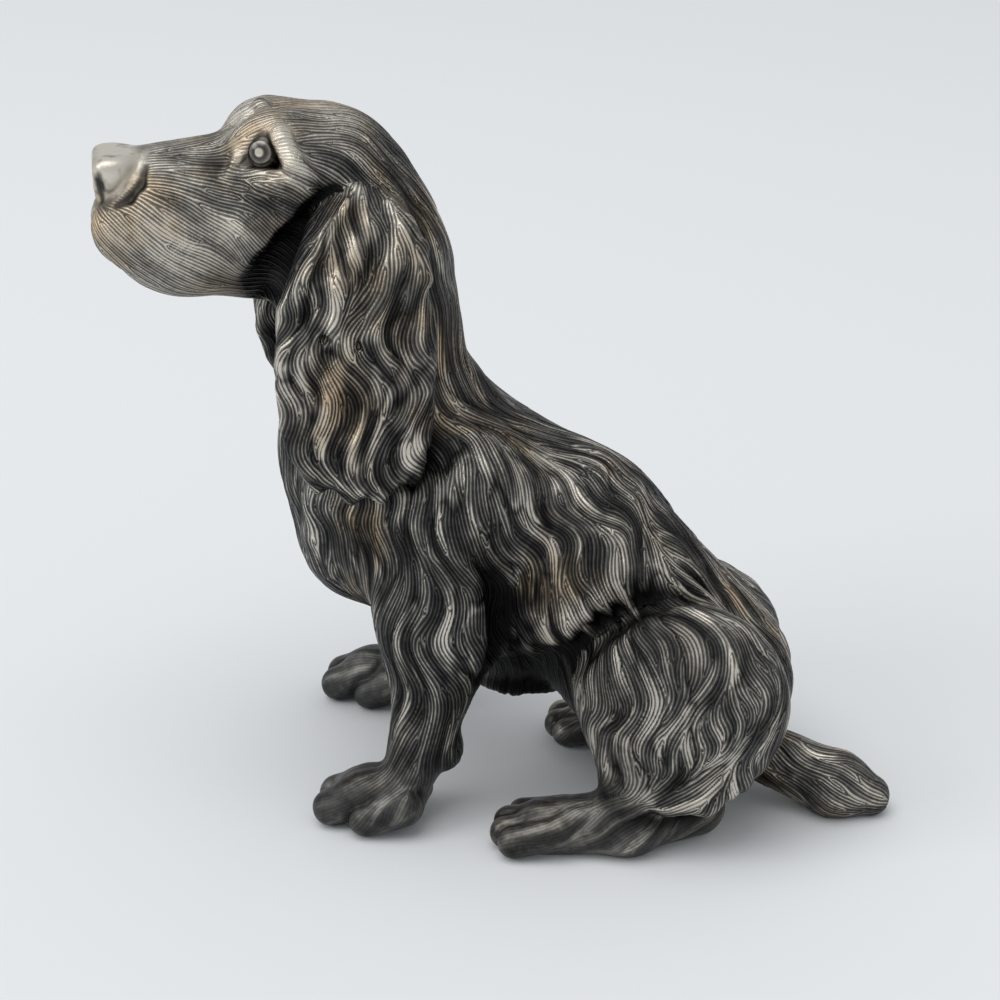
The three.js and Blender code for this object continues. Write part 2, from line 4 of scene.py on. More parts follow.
import bpy
import numpy as np
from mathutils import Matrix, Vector

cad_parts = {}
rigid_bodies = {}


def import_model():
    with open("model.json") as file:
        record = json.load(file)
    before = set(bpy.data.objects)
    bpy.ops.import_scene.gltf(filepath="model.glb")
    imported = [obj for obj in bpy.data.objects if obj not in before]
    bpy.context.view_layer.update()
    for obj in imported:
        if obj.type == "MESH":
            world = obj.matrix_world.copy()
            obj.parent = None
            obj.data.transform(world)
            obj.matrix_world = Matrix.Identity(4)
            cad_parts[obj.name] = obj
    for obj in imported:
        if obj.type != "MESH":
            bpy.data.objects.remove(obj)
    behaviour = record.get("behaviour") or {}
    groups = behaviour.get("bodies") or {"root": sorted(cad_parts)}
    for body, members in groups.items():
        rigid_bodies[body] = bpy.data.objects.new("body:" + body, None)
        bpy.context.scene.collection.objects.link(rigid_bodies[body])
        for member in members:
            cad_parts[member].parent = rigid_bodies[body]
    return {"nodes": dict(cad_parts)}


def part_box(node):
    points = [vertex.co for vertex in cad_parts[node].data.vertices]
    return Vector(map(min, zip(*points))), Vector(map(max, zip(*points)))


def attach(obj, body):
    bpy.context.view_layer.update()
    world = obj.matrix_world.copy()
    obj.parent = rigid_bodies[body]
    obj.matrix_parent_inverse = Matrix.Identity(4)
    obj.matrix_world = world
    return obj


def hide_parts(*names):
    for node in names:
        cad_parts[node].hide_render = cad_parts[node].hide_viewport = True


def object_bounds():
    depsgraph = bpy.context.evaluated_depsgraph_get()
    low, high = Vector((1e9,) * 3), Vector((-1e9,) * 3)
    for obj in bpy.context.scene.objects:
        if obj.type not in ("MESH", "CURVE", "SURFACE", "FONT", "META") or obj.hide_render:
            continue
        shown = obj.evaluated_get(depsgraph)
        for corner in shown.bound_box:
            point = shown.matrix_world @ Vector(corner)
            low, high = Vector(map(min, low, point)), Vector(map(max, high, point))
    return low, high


for thing in list(bpy.data.objects):  # start from an empty scene
    bpy.data.objects.remove(thing)
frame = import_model()
cadLow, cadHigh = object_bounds()

# The sculpt is worked out in millimetres about the neck's axis, then moved onto the CAD frame.
neckX = -36.0
sleeveLow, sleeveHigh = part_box("neck_sleeve")
shift = np.array([
    (sleeveLow[0] + sleeveHigh[0]) * 500 - neckX,
    (sleeveLow[1] + sleeveHigh[1]) * 500,
    0.0,
])
headTurn = math.radians(21)
cell = 1.1  # fineness of the sculpting grid
reach = 14.0  # how far from a form its distance is kept
chance = np.random.default_rng(7)
print("frame loaded, shift", shift.round(3))


# Forms: distance in mm, negative inside; k is the width of a blend in mm
def softMin(a, b, k):
    h = np.maximum(k - np.abs(a - b), 0) / k
    return np.minimum(a, b) - h * h * k * 0.25


def softMax(a, b, k):
    return -softMin(-a, -b, k)


def fade(value, start, end):
    # 0 up to the start, 1 from the end on
    return np.clip((value - start) / (end - start), 0, 1)


def hump(value, middle, width):
    # 1 in the middle, falling off to both sides
    return np.exp(-((value - middle) / width) ** 2)


def egg(p, at, radii):
    # a ball with its own radius along each axis
    q = [(p[i] - at[i]) / radii[i] for i in range(3)]
    k = np.sqrt(q[0] ** 2 + q[1] ** 2 + q[2] ** 2)
    steep = np.sqrt(sum((q[i] / radii[i]) ** 2 for i in range(3)))
    return k * (k - 1) / np.maximum(steep, 1e-6)


def bar(p, a, b, ra, rb, flat=1.0):
    # a round bar between two points, tapered, and flattened across if asked
    run = [b[i] - a[i] for i in range(3)]
    long2 = sum(v * v for v in run)
    t = np.clip(sum((p[i] - a[i]) * run[i] for i in range(3)) / long2, 0, 1)
    d = [p[i] - a[i] - t * run[i] for i in range(3)]
    away = np.sqrt(d[0] ** 2 + (d[1] / flat) ** 2 + d[2] ** 2) - (ra + t * (rb - ra))
    return away * min(1.0, flat)


def rope(p, points, radii, k=1.5):
    # bars in a row, blended
    pairs = zip(points, points[1:], radii, radii[1:])
    bars = [bar(p, a, b, ra, rb) for a, b, ra, rb in pairs]
    out = bars[0]
    for other in bars[1:]:
        out = softMin(out, other, k)
    return out


def widthAt(form, x, z, sign=1):
    # how far out a form reaches on one side at a place along X and Z
    y = np.linspace(0, 45, 901)  # out to 45 mm in steps of 0.05
    return y[np.argmax(form([x + 0 * y, sign * y, z + 0 * y]) > 0)]


def ontoHead(p):
    # from the body's axes to the turned head's
    c, s = math.cos(headTurn), math.sin(headTurn)
    return [neckX + (p[0] - neckX) * c + p[1] * s, p[1] * c - (p[0] - neckX) * s, p[2]]


def offHead(p):
    c, s = math.cos(headTurn), math.sin(headTurn)
    return [neckX + (p[0] - neckX) * c - p[1] * s, (p[0] - neckX) * s + p[1] * c, p[2]]


torsoSizes = {
    "foreFlat": 0.86, "hindFlat": 0.92,
    "chest": ((-20, 0, 84), 36), "loin": ((17, 0, 72), 29), "rump": ((54, -6, 37), 30),
    "belly": ((3, 0, 53.5), (22, 22, 24)), "breast": ((-43, 0, 73), (13, 17, 18)),
    "neck": ((neckX, 0, 102), (neckX, 0, 150), 24, 22),
}
plateLow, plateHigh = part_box("core_plate")
plateX = (plateLow[0] + plateHigh[0]) * 500 - shift[0]
plateRadius = (plateHigh[0] - plateLow[0]) * 500
plateTop = plateHigh[2] * 1000
plateFringe = {"out": 3.0, "drop": 0.2, "radius": 2.6, "sideGap": 0.6, "topGap": 0.3}


def torsoCore(p):
    s = torsoSizes
    f = bar(p, s["chest"][0], s["loin"][0], s["chest"][1], s["loin"][1], s["foreFlat"])
    f = softMin(f, bar(p, s["loin"][0], s["rump"][0], s["loin"][1], s["rump"][1], s["hindFlat"]), 6)
    f = softMin(f, egg(p, *s["belly"]), 6)
    f = softMin(f, bar(p, *s["neck"]), 18)
    return softMin(f, egg(p, *s["breast"]), 10)


def torsoForm(p):
    # a fringe of hair hides the edge of the core plate, and the plate's seat is kept clear
    s = plateFringe
    out = np.sqrt((p[0] - plateX) ** 2 + p[1] ** 2) - plateRadius
    fringe = np.sqrt((out - s["out"]) ** 2 + (p[2] - plateTop + s["drop"]) ** 2) - s["radius"]
    seat = np.maximum(out - s["sideGap"], p[2] - plateTop - s["topGap"])
    return np.maximum(softMin(torsoCore(p), fringe, 4), -seat)


# Main locks of the coat, root to tip, as places on the flank along X and Z
lockLines = [
    [(-24, 130), (-22, 122), (-18, 115)],
    [(-46, 112), (-45, 101), (-44, 90), (-46, 80), (-44, 68)],
    [(12, 103), (18, 95), (23, 86), (20, 76), (22, 67), (19, 58)],
    [(27, 90), (34, 83), (37, 76), (34, 70)],
    [(10, 53), (16, 56), (26, 60), (33, 66), (40, 70)],
]
lockSizes = {"radius": 5.0, "sunk": 3.3, "tip": 3.5, "offSpine": 12}


def flankLocks():
    # the main locks of both flanks, as points and radii
    s = lockSizes
    for line in lockLines:
        radii = [s["tip"]] + [s["radius"]] * (len(line) - 2) + [s["tip"]]
        for sign in (-1, 1):
            yield [(x, sign * (widthAt(torsoCore, x, z, sign) - s["sunk"]), z) for x, z in line], radii


foreSizes = {
    "left": {
        "shoulder": (-5, -20, 90), "elbow": (-11, -27, 60),
        "wrist": (-15, -33, 25), "paw": (-30, -38.5, 7.2),
    },
    "right": {
        "shoulder": (-9, 20, 86), "elbow": (-17, 27, 60),
        "wrist": (-27, 30, 22), "paw": (-46.5, 31, 6.8),
    },
}
foreRadii = {
    "shoulder": 19, "elbow": 16.5, "wrist": 8.5, "instep": 7.0, "flat": 0.78,
    "paw": (13, 9.4, 8.8), "stopper": (4.2, 4.2, 5),
}


def toeBars(p, tip, s):
    # four toes side by side, the outer two set back
    bars = []
    for i in (-2, -1, 1, 2):
        outer = abs(i) == 2
        back = s["setBack"] if outer else 0.0
        wide = math.copysign(s["outer"] if outer else s["inner"], i)
        root = (tip[0] + s["long"] + back, tip[1] + 0.75 * wide, tip[2] + s["slope"])
        bars.append(bar(p, root, (tip[0] + back, tip[1] + wide, tip[2]), s["root"], s["radius"]))
    return bars


def toes(p, tip, s):
    out = None
    for toe in toeBars(p, tip, s):
        out = toe if out is None else softMin(out, toe, 0.5)
    return out


def cleft(p, tip, s):
    # how near a point is to the line between two toes
    first, second = np.sort(toeBars(p, tip, s), axis=0)[:2]
    return fade(second - first, 1.5, 0) * fade(first, 2.5, 0)


foreToes = {"long": 10, "slope": 4, "setBack": 11, "inner": 3.7, "outer": 7.2, "root": 6.0, "radius": 5.3}


def foreTip(side):
    paw = foreSizes[side]["paw"]
    return paw[0] - 9.8, paw[1], 5.2


def foreForm(p, side):
    s, r = foreSizes[side], foreRadii
    paw = s["paw"]
    f = bar(p, s["shoulder"], s["elbow"], r["shoulder"], r["elbow"], r["flat"])
    f = softMin(f, bar(p, s["elbow"], s["wrist"], r["elbow"], r["wrist"], r["flat"]), 7)
    f = softMin(f, bar(p, s["wrist"], (paw[0] + 9, paw[1], paw[2] + 2), r["wrist"], r["instep"]), 4)
    f = softMin(f, egg(p, (paw[0] + 3, paw[1], paw[2] + 1.2), r["paw"]), 3)
    f = softMin(f, toes(p, foreTip(side), foreToes), 1.6)
    # stopper pad behind the wrist
    pad = (s["wrist"][0] + 6.5, s["wrist"][1] + 1, s["wrist"][2] - 4)
    f = softMin(f, egg(p, pad, r["stopper"]), 3)
    return np.maximum(f, -p[2])


hindSizes = {
    "left": {
        "haunch": ((56, -31, 43), (29, 17, 29)), "knee": (43, -37, 30), "instep": (43, -39, 8.5),
        "heel": (60, -27, 8.5), "toes": (14.5, -42, 6.2),
    },
    "right": {
        "haunch": ((51, 19, 38), (28, 16, 24)), "knee": (38, 25, 28), "instep": (37, 21.5, 9.5),
        "heel": (58, 21, 8.5), "toes": (19, 19.5, 6.5),
    },
}
hindRadii = {"knee": 9, "shin": 7.5, "heel": 8.5, "instep": 8.6, "toes": 8.0}
hindToes = {"long": 12, "slope": 3.5, "setBack": 3, "inner": 2.7, "outer": 7.2, "root": 4.4, "radius": 4.6}
skirt = {"turns": (215, 240, 265, 290, 318), "shares": (0.78, 0.62, 0.86), "radius": 4.2, "tip": 2.6}


def hindTip(side):
    tip = hindSizes[side]["toes"]
    return tip[0] - 4.0, tip[1], 4.7


def haunchForm(p, side):
    # the haunch and the hem of its hair, a rope round its lower edge
    at, radii = hindSizes[side]["haunch"]
    sign = -1 if side == "left" else 1
    line = []
    for turn in np.radians(skirt["turns"]):
        ways = (math.cos(turn), sign, math.sin(turn))
        line.append([at[i] + skirt["shares"][i] * radii[i] * ways[i] for i in range(3)])
    thick = [skirt["tip"]] + [skirt["radius"]] * 3 + [skirt["tip"]]
    return softMin(egg(p, at, radii), rope(p, line, thick), 6)


def footForm(p, side):
    s, r = hindSizes[side], hindRadii
    tip = s["toes"]
    f = bar(p, s["knee"], s["instep"], r["knee"], r["shin"])
    f = softMin(f, bar(p, s["heel"], s["instep"], r["heel"], r["instep"]), 4)
    f = softMin(f, bar(p, s["instep"], (tip[0] + 6, tip[1], tip[2]), r["instep"], r["toes"]), 4)
    return softMin(f, toes(p, hindTip(side), hindToes), 1.8)


def hindForm(p, side):
    return np.maximum(softMin(haunchForm(p, side), footForm(p, side), 1.6), -p[2])


tailSizes = {"line": [(76, -2, 13), (98, -7, 7.5), (107.5, -7, 5)], "radii": [8.5, 9, 5.8]}


def tailForm(p):
    return np.maximum(rope(p, tailSizes["line"], tailSizes["radii"], 4), -p[2])


headSizes = {
    "skull": ((-49, 0, 169), (25, 24, 26)), "brow": ((-61.2, 8.5, 185.6), (11, 8, 9.5)),
    "cheek": ((-58, 13, 165), (17, 12, 18)), "flew": ((-84, 7.5, 165), (20.5, 10.5, 18)),
    "lip": ((-99.6, 4.5, 165.3), (9, 7.5, 9.5)),
    "nose": ((-103, 0, 181.5), (9.8, 10.8, 9.6)), "noseFront": -107.2, "noseTop": 185.0,
    "eye": (-63.3, 12.6, 186.0), "eyeRadius": 4.9,
    "lids": [(-70.4, 182.6), (-63.8, 194.2), (-59.4, 183.0)], "eyeFloor": 14.2,
    "hollow": [(-47, 24, 177), (-52, 23.5, 171), (-57, 22, 164), (-61, 20.5, 157), (-63.5, 18, 151),
               (-63, 9, 145)],
    "hollowRadii": [1.2, 2.8, 4.6, 5.8, 6.2, 4.6],
    "throat": ((-42, 0, 161), (neckX, 0, 135), 23, 22),
    "bridge": ((-64, 0, 177), (-95, 0, 176), 12, 9.5),
    "muzzle": ((-60, 0, 166), (-88, 0, 164), 18, 15),
    "jaw": ((-66, 0, 153), (-86, 0, 153), 10, 6.5, 1.2),
    "lipFront": ((-100.5, 0, 176), (-100.3, 0, 166), 6.6, 6.6),
    "lipGroove": ((-107.6, 0, 178), (-107.8, 0, 157), 0.8, 1.3),
    "chin": [(-106.8, 0, 156.6), (-104.6, 6, 155.8), (-99.4, 10.5, 153)], "chinRadii": [1.2, 1.2, 0.7],
}
# lines on the face: place along X and Z, lift from the skin, radius
faceLines = {
    "fold": [(-73.0, 180.2, -0.2, 0.9), (-70.2, 185.2, 0.1, 1.2), (-66.8, 191.8, 0.0, 1.4),
             (-63.2, 195.2, -0.2, 1.6), (-59.4, 190.2, 0.2, 2.8), (-56.8, 184.4, 0.2, 3.0),
             (-52.6, 180.2, -0.2, 2.2)],
    "lid": [(-70.6, 180.2, -0.1, 0.7), (-66.0, 179.2, 0.1, 1.0), (-60.8, 179.4, 0.1, 1.0),
            (-57.2, 180.4, 0.0, 0.7)],
    "bag": [(-72.0, 177.4, -0.1, 0.6), (-66.2, 176.0, 0.0, 0.8), (-59.6, 176.6, -0.1, 0.6)],
    "wing": [(-93.6, 182.6, 0.4, 0.6), (-95.2, 178.8, 0.4, 1.0), (-98.4, 175.4, 0.4, 1.1),
             (-102.0, 173.2, 0.4, 0.6)],
    "nostril": [(-105.8, 181.0, 0.4, 0.8), (-106.0, 177.8, 0.2, 1.3), (-105.4, 173.4, 0.3, 0.7)],
}


def nosePad(q):
    # a ball cut flat in front and on top
    s = headSizes
    f = softMax(egg(q, *s["nose"]), s["noseFront"] - q[0], 3)
    return softMax(f, q[2] - s["noseTop"], 3)


def lidGap(m):
    # the three-cornered opening between the lids
    s = headSizes
    out = s["eyeFloor"] - m[1]
    for a, b in zip(s["lids"], s["lids"][1:] + s["lids"][:1]):
        run = (b[0] - a[0], b[1] - a[1])
        away = ((m[2] - a[1]) * run[0] - (m[0] - a[0]) * run[1]) / math.hypot(*run)
        out = softMax(out, away, 1.5)
    return out


def faceForm(q):
    s = headSizes
    m = [q[0], np.abs(q[1]), q[2]]
    f = egg(q, *s["skull"])
    f = softMin(f, bar(q, *s["throat"]), 6)
    f = softMin(f, egg(m, *s["brow"]), 6)
    f = softMin(f, egg(m, *s["cheek"]), 6)
    f = softMin(f, bar(q, *s["bridge"]), 6)
    f = softMin(f, bar(q, *s["muzzle"]), 6)
    f = softMin(f, egg(m, *s["flew"]), 4)
    f = softMin(f, egg(m, *s["lip"]), 4)
    f = softMin(f, bar(q, *s["jaw"]), 4)
    f = softMin(f, bar(q, *s["lipFront"]), 1.5)
    return softMin(f, nosePad(q), 1.0)


def faceLine(p, name, k=1.5):
    places = faceLines[name]
    points = [(x, widthAt(faceForm, x, z) + lift, z) for x, z, lift, r in places]
    return rope(p, points, [place[3] for place in places], k)


def headForm(p):
    s = headSizes
    q = ontoHead(p)
    m = [q[0], np.abs(q[1]), q[2]]
    f = faceForm(q)
    f = softMax(f, -rope(m, s["hollow"], s["hollowRadii"], 3), 4.0)
    # folds round the eye, then the gap between the lids
    f = softMin(f, faceLine(m, "fold"), 1.6)
    f = softMin(f, faceLine(m, "lid"), 1.0)
    f = softMax(f, -lidGap(m), 0.6)
    f = softMin(f, faceLine(m, "bag"), 1.2)
    # creases of the nose, the groove below it and the chin
    f = softMax(f, -faceLine(m, "nostril"), 0.7)
    f = softMax(f, -faceLine(m, "wing"), 0.9)
    f = softMax(f, -bar(q, *s["lipGroove"]), 1.0)
    return softMax(f, -rope(m, s["chin"], s["chinRadii"]), 1.4)


earSizes = {
    "flap": [((-41, 164), (15, 13)), ((-43, 140), (21, 27)), ((-43.5, 117.5), (19.5, 19.5))],
    "heights": [98, 117, 142, 165, 178],
    "out": [38.5, 38.0, 34.5, 28.0, 20.5], "thick": [2.8, 3.2, 3.4, 3.8, 3.4],
    "rim": [(-44, 27.5, 176), (-52.5, 31.8, 165), (-60.6, 34.4, 150), (-63.0, 36.0, 136),
            (-62.0, 37.5, 121), (-57.5, 39.0, 107)],
    "rimRadii": [0.8, 1.8, 2.2, 2.0, 2.2, 1.6], "gap": 2.2, "bow": 2.5,
    "scallop": 1.6, "scallopStep": 9, "lockRadius": 2.2, "lockTip": 1.2, "lockSunk": 0.9,
    "locks": [
        [(-41, 177), (-39, 169), (-44, 161), (-48, 156), (-50, 147), (-47, 140), (-50, 132), (-54, 125),
         (-54, 113)],
        [(-33, 174), (-30, 168), (-33, 161), (-37, 154), (-39.5, 144), (-36.5, 135), (-40, 126),
         (-46, 116), (-44, 103)],
        [(-29, 170), (-26, 164), (-25.5, 156), (-29.5, 152), (-29, 144), (-29, 136), (-34, 130),
         (-40, 124)],
        [(-25, 136), (-27.5, 128), (-33, 121), (-30, 113), (-34, 104)],
        [(-58, 146), (-57, 138), (-59, 130), (-57, 121), (-59, 112)],
    ],
    "pits": [(-52, 143), (-43.7, 140.5)], "pitRadii": (1.5, 2.2, 1.5),
}


def flapAt(x, z):
    # how far out the middle of the flap lies, and half its thickness
    s = earSizes
    out = np.interp(z, s["heights"], s["out"]) - s["bow"] * ((x + 43) / 21) ** 2
    return out, np.interp(z, s["heights"], s["thick"])


def earLocks():
    # the main locks of an ear, as points and radii
    s = earSizes
    for line in s["locks"]:
        radii = [s["lockTip"]] + [s["lockRadius"]] * (len(line) - 2) + [s["lockTip"]]
        yield [(x, float(sum(flapAt(x, z))) - s["lockSunk"], z) for x, z in line], radii


def earForm(p, side):
    s = earSizes
    q = ontoHead(p)
    m = [q[0], q[1] * (-1 if side == "left" else 1), q[2]]
    rounds = []
    for (cx, cz), (rx, rz) in s["flap"]:
        k = np.sqrt(((m[0] - cx) / rx) ** 2 + ((m[2] - cz) / rz) ** 2)
        steep = np.sqrt(((m[0] - cx) / rx ** 2) ** 2 + ((m[2] - cz) / rz ** 2) ** 2)
        rounds.append(k * (k - 1) / np.maximum(steep, 1e-6))
    outline = softMin(softMin(rounds[0], rounds[1], 8), rounds[2], 8)
    low = fade(m[2], 114, 104)
    outline = outline - s["scallop"] * low * np.cos((m[0] + 47) * 2 * np.pi / s["scallopStep"])
    out, thick = flapAt(m[0], m[2])
    f = softMax(outline, np.abs(m[1] - out) - thick, 4)
    f = softMin(f, rope(m, s["rim"], s["rimRadii"]), 3)
    for places, radii in earLocks():
        f = softMin(f, rope(m, places, radii), 2.4)
    for x, z in s["pits"]:  # two pinholes left by the casting
        f = softMax(f, -egg(m, (x, float(sum(flapAt(x, z))) + 0.4, z), s["pitRadii"]), 0.8)
    return f


# Each casting: its form, its box and how softly it runs into the rest
castings = [
    ("torso", torsoForm, (-60, -37, 0), (90, 37, 164), 1),
    ("left_foreleg", lambda p: foreForm(p, "left"), (-48, -52, 0), (16, 0, 112), 8),
    ("right_foreleg", lambda p: foreForm(p, "right"), (-64, -2, 0), (14, 45, 108), 8),
    ("left_hind_leg", lambda p: hindForm(p, "left"), (4, -54, 0), (88, -10, 75), 6),
    ("right_hind_leg", lambda p: hindForm(p, "right"), (6, 0, 0), (82, 40, 65), 6),
    ("tail", tailForm, (64, -20, 0), (116, 10, 24), 5),
    ("head_shell", headForm, (-110, -60, 108), (-6, 36, 200), 8),
    ("left_ear", lambda p: earForm(p, "left"), (-80, -64, 92), (0, -10, 188), 1.5),
    ("right_ear", lambda p: earForm(p, "right"), (-92, 0, 92), (-10, 52, 188), 1.5),
]

# deep folds of the coat behind the elbow and above the haunch
creases = [
    ([(2, -36, 86), (6, -34, 76), (7.5, -32.5, 66), (6.5, -31, 55), (3, -31, 46)],
     [1.5, 3.0, 3.6, 3.6, 2.4]),
    ([(25, -34, 50), (29, -34, 59), (38, -32, 67), (48, -29, 71), (58, -24, 70)],
     [1.5, 3.0, 3.4, 3.0, 1.5]),
]


def bothSides(number):
    # a crease on the left, and on the right a little further forward and lower
    line, radii = creases[number]
    for sign, ahead, drop in ((1, 0, 0), (-1, 5, 2)):
        yield [(x - ahead, y * sign, z - drop) for x, y, z in line], radii


gridLow = np.array(cadLow) * 1000 - shift - 4
gridHigh = np.array(cadHigh) * 1000 - shift + 4
counts = np.ceil((gridHigh - gridLow) / cell).astype(int) + 1
axes = [(gridLow[i] + cell * np.arange(counts[i])).astype(np.float32) for i in range(3)]
field = np.full(counts, reach, np.float32)
nearest = np.full(counts, 1e3, np.float32)
owner = np.zeros(counts, np.int8)


def part(low, high, margin):
    # the grid points in a box, as slices and as places
    first = np.clip(np.floor((np.array(low) - margin - gridLow) / cell).astype(int), 0, counts - 1)
    last = np.clip(np.ceil((np.array(high) + margin - gridLow) / cell).astype(int) + 1, 1, counts)
    at = tuple(slice(a, b) for a, b in zip(first, last))
    x, y, z = (axis[s] for axis, s in zip(axes, at))
    return at, [x[:, None, None], y[None, :, None], z[None, None, :]]


def addLocks():
    for places, radii in flankLocks():
        if np.abs(places)[:, 1].min() >= lockSizes["offSpine"]:
            at, spot = part(np.min(places, 0), np.max(places, 0), 10)
            field[at] = softMin(field[at], rope(spot, places, radii, 2).astype(np.float32), 3)


for number, (name, form, low, high, soft) in enumerate(castings, 1):
    at, spot = part(low, high, reach)
    value = form(spot).astype(np.float32)
    if name.endswith("ear"):  # the flap hangs free of the neck below its root
        root = fade(spot[2], 158, 168)
        rear = fade(ontoHead(spot)[0], -54, -44)
        field[at] = softMax(field[at], earSizes["gap"] - 6 * root - value, 0.8)
        soft = soft + 4 * root * rear
    field[at] = softMin(field[at], value, soft)
    closer = value < nearest[at]
    nearest[at][closer] = value[closer]
    owner[at][closer] = number
    if name == "torso":
        addLocks()
for number in range(len(creases)):
    for line, radii in bothSides(number):
        at, spot = part(np.min(line, 0), np.max(line, 0), 9)
        field[at] = softMax(field[at], -rope(spot, line, radii).astype(np.float32), 4.5)
rightHalf = axes[1][None, :, None] >= 0
owner[(owner == 1) & np.broadcast_to(rightHalf, owner.shape)] = len(castings) + 1
names = ["torso_left"] + [c[0] for c in castings[1:]] + ["torso_right"]
print("field", field.shape)


# Nets: one shared set of points, and faces that know the casting on either side
def castNet():
    mark = np.where(field < 0, owner, 0)

    def corner(c):
        return mark[tuple(slice(c[i], counts[i] - 1 + c[i]) for i in range(3))]

    corners = [(i, j, k) for i in (0, 1) for j in (0, 1) for k in (0, 1)]
    first = corner((0, 0, 0))
    mixed = np.zeros(first.shape, bool)
    for c in corners[1:]:
        mixed |= corner(c) != first
    spots = np.argwhere(mixed)
    total = np.zeros((len(spots), 3), np.float32)
    hits = np.zeros(len(spots), np.float32)
    values = {c: field[spots[:, 0] + c[0], spots[:, 1] + c[1], spots[:, 2] + c[2]] for c in corners}
    for c in corners:
        for axis in range(3):
            if c[axis] == 0:
                d = tuple(1 if i == axis else c[i] for i in range(3))
                cut = (values[c] < 0) != (values[d] < 0)
                t = values[c][cut] / (values[c][cut] - values[d][cut])
                step = np.tile(np.array(c, np.float32), (len(t), 1))
                step[:, axis] = t
                total[cut] += step
                hits[cut] += 1
    inside = np.where(hits[:, None] > 0, total / np.maximum(hits, 1)[:, None], 0.5)
    points = gridLow + cell * (spots + inside)
    place = np.full(first.shape, -1, np.int32)
    place[mixed] = np.arange(len(spots))
    quads, behind, ahead = [], [], []
    for axis in range(3):
        u, v = (axis + 1) % 3, (axis + 2) % 3
        cut = [slice(1, n - 1) for n in counts]
        cut[axis] = slice(0, counts[axis] - 1)
        on = list(cut)
        on[axis] = slice(1, counts[axis])
        a, b = mark[tuple(cut)], mark[tuple(on)]
        edge = np.argwhere(a != b)
        base = edge + np.array([0 if i == axis else 1 for i in range(3)])
        ring = []
        for du, dv in ((1, 1), (0, 1), (0, 0), (1, 0)):
            c = base.copy()
            c[:, u] -= du
            c[:, v] -= dv
            ring.append(place[c[:, 0], c[:, 1], c[:, 2]])
        quads.append(np.stack(ring, 1))
        behind.append(a[tuple(edge.T)])
        ahead.append(b[tuple(edge.T)])
    return points, np.concatenate(quads), np.concatenate(behind), np.concatenate(ahead)


def divide(points, quads, isSkin):
    # quarters the faces of the skin; a wall keeps its faces and takes in the new points on its rim
    pairs = np.sort(np.stack([quads, np.roll(quads, -1, 1)], 2).reshape(-1, 2), 1)
    key = pairs[:, 0].astype(np.int64) * len(points) + pairs[:, 1]
    unique, where = np.unique(key, return_inverse=True)
    ends = np.stack([unique // len(points), unique % len(points)], 1)
    mids = len(points) + where.reshape(-1, 4)
    q, e = quads[isSkin], mids[isSkin]
    centres = len(points) + len(ends) + np.arange(len(q))
    fine = np.concatenate([np.stack([q[:, i], e[:, i], centres, e[:, i - 1]], 1) for i in range(4)])
    onSkin = np.zeros(len(points) + len(ends), bool)
    onSkin[e] = True
    onSkin[:len(points)] = True
    rims = np.stack([quads[~isSkin], mids[~isSkin]], 2).reshape(-1, 8)
    return np.concatenate([points, points[ends].mean(1), points[q].mean(1)]), fine, rims, onSkin[rims]


points, quads, behind, ahead = castNet()
coarseCount = len(points)
isSkin = (behind == 0) | (ahead == 0)
coarseQuads = quads[isSkin]
points, skinQuads, rims, rimKept = divide(points, quads, isSkin)
skinOf = np.tile(np.maximum(behind, ahead)[isSkin], 4)  # the casting that each skin face belongs to
inward = np.tile(behind[isSkin] == 0, 4)
skinQuads[inward] = skinQuads[inward][:, ::-1]
wallBehind, wallAhead = behind[~isSkin], ahead[~isSkin]
print("net", len(points), "points", len(skinQuads), "skin faces", len(rims), "wall faces")

slopes = np.stack([field] + np.gradient(field, cell), -1).astype(np.float32)


def sample(grid, low, size, p):
    # values of a grid at points, from the eight corners of their cells
    top = np.array(grid.shape[:3]) - 1.001
    q = np.clip((p - low) / size, 0, top)
    i = q.astype(np.int32)
    t = (q - i).astype(np.float32)
    flat = grid.reshape(-1, grid.shape[3])
    strides = (grid.shape[1] * grid.shape[2], grid.shape[2], 1)
    base = i[:, 0] * strides[0] + i[:, 1] * strides[1] + i[:, 2]
    out = 0
    for c in range(8):
        bits = [(c >> k) & 1 for k in range(3)]
        w = np.prod([t[:, k] if bits[k] else 1 - t[:, k] for k in range(3)], axis=0)
        out = out + flat[base + sum(b * s for b, s in zip(bits, strides))] * w[:, None]
    return out


def unit(v):
    return v / np.maximum(np.sqrt((v * v).sum(1, keepdims=True)), 1e-9)


def settle(p):
    # moves points onto the surface
    near = sample(slopes, gridLow, cell, p)
    steep = np.maximum((near[:, 1:] ** 2).sum(1), 0.2)
    move = np.clip(near[:, 0] / steep, -2, 2)
    return p - move[:, None] * near[:, 1:]


skinIds = np.unique(skinQuads)
local = np.full(len(points), -1, np.int64)
local[skinIds] = np.arange(len(skinIds))
skin = points[skinIds]
ring = local[skinQuads]


def edgesOf(faces):
    # pairs of points joined by an edge, each once
    pairs = np.sort(np.stack([faces, np.roll(faces, -1, 1)], 2).reshape(-1, 2), 1).astype(np.int64)
    key = np.unique(pairs[:, 0] * (faces.max() + 1) + pairs[:, 1])
    return np.stack([key // (faces.max() + 1), key % (faces.max() + 1)], 1)


ends = edgesOf(ring)
degree = np.bincount(ends.ravel(), minlength=len(skin))


def relax(v, amount):
    # moves values toward the mean of their neighbours
    a, b = ends[:, 0], ends[:, 1]
    mean = np.stack([
        np.bincount(a, v[b, i], len(v)) + np.bincount(b, v[a, i], len(v)) for i in range(v.shape[1])
    ], 1) / degree[:, None]
    return v + amount * (mean - v)


for turn in range(3):
    skin = settle(relax(skin, 0.6))
skin = relax(skin, 0.5)
normal = unit(relax(unit(sample(slopes, gridLow, cell, skin)[:, 1:]), 0.5))
print("skin settled", len(skin))

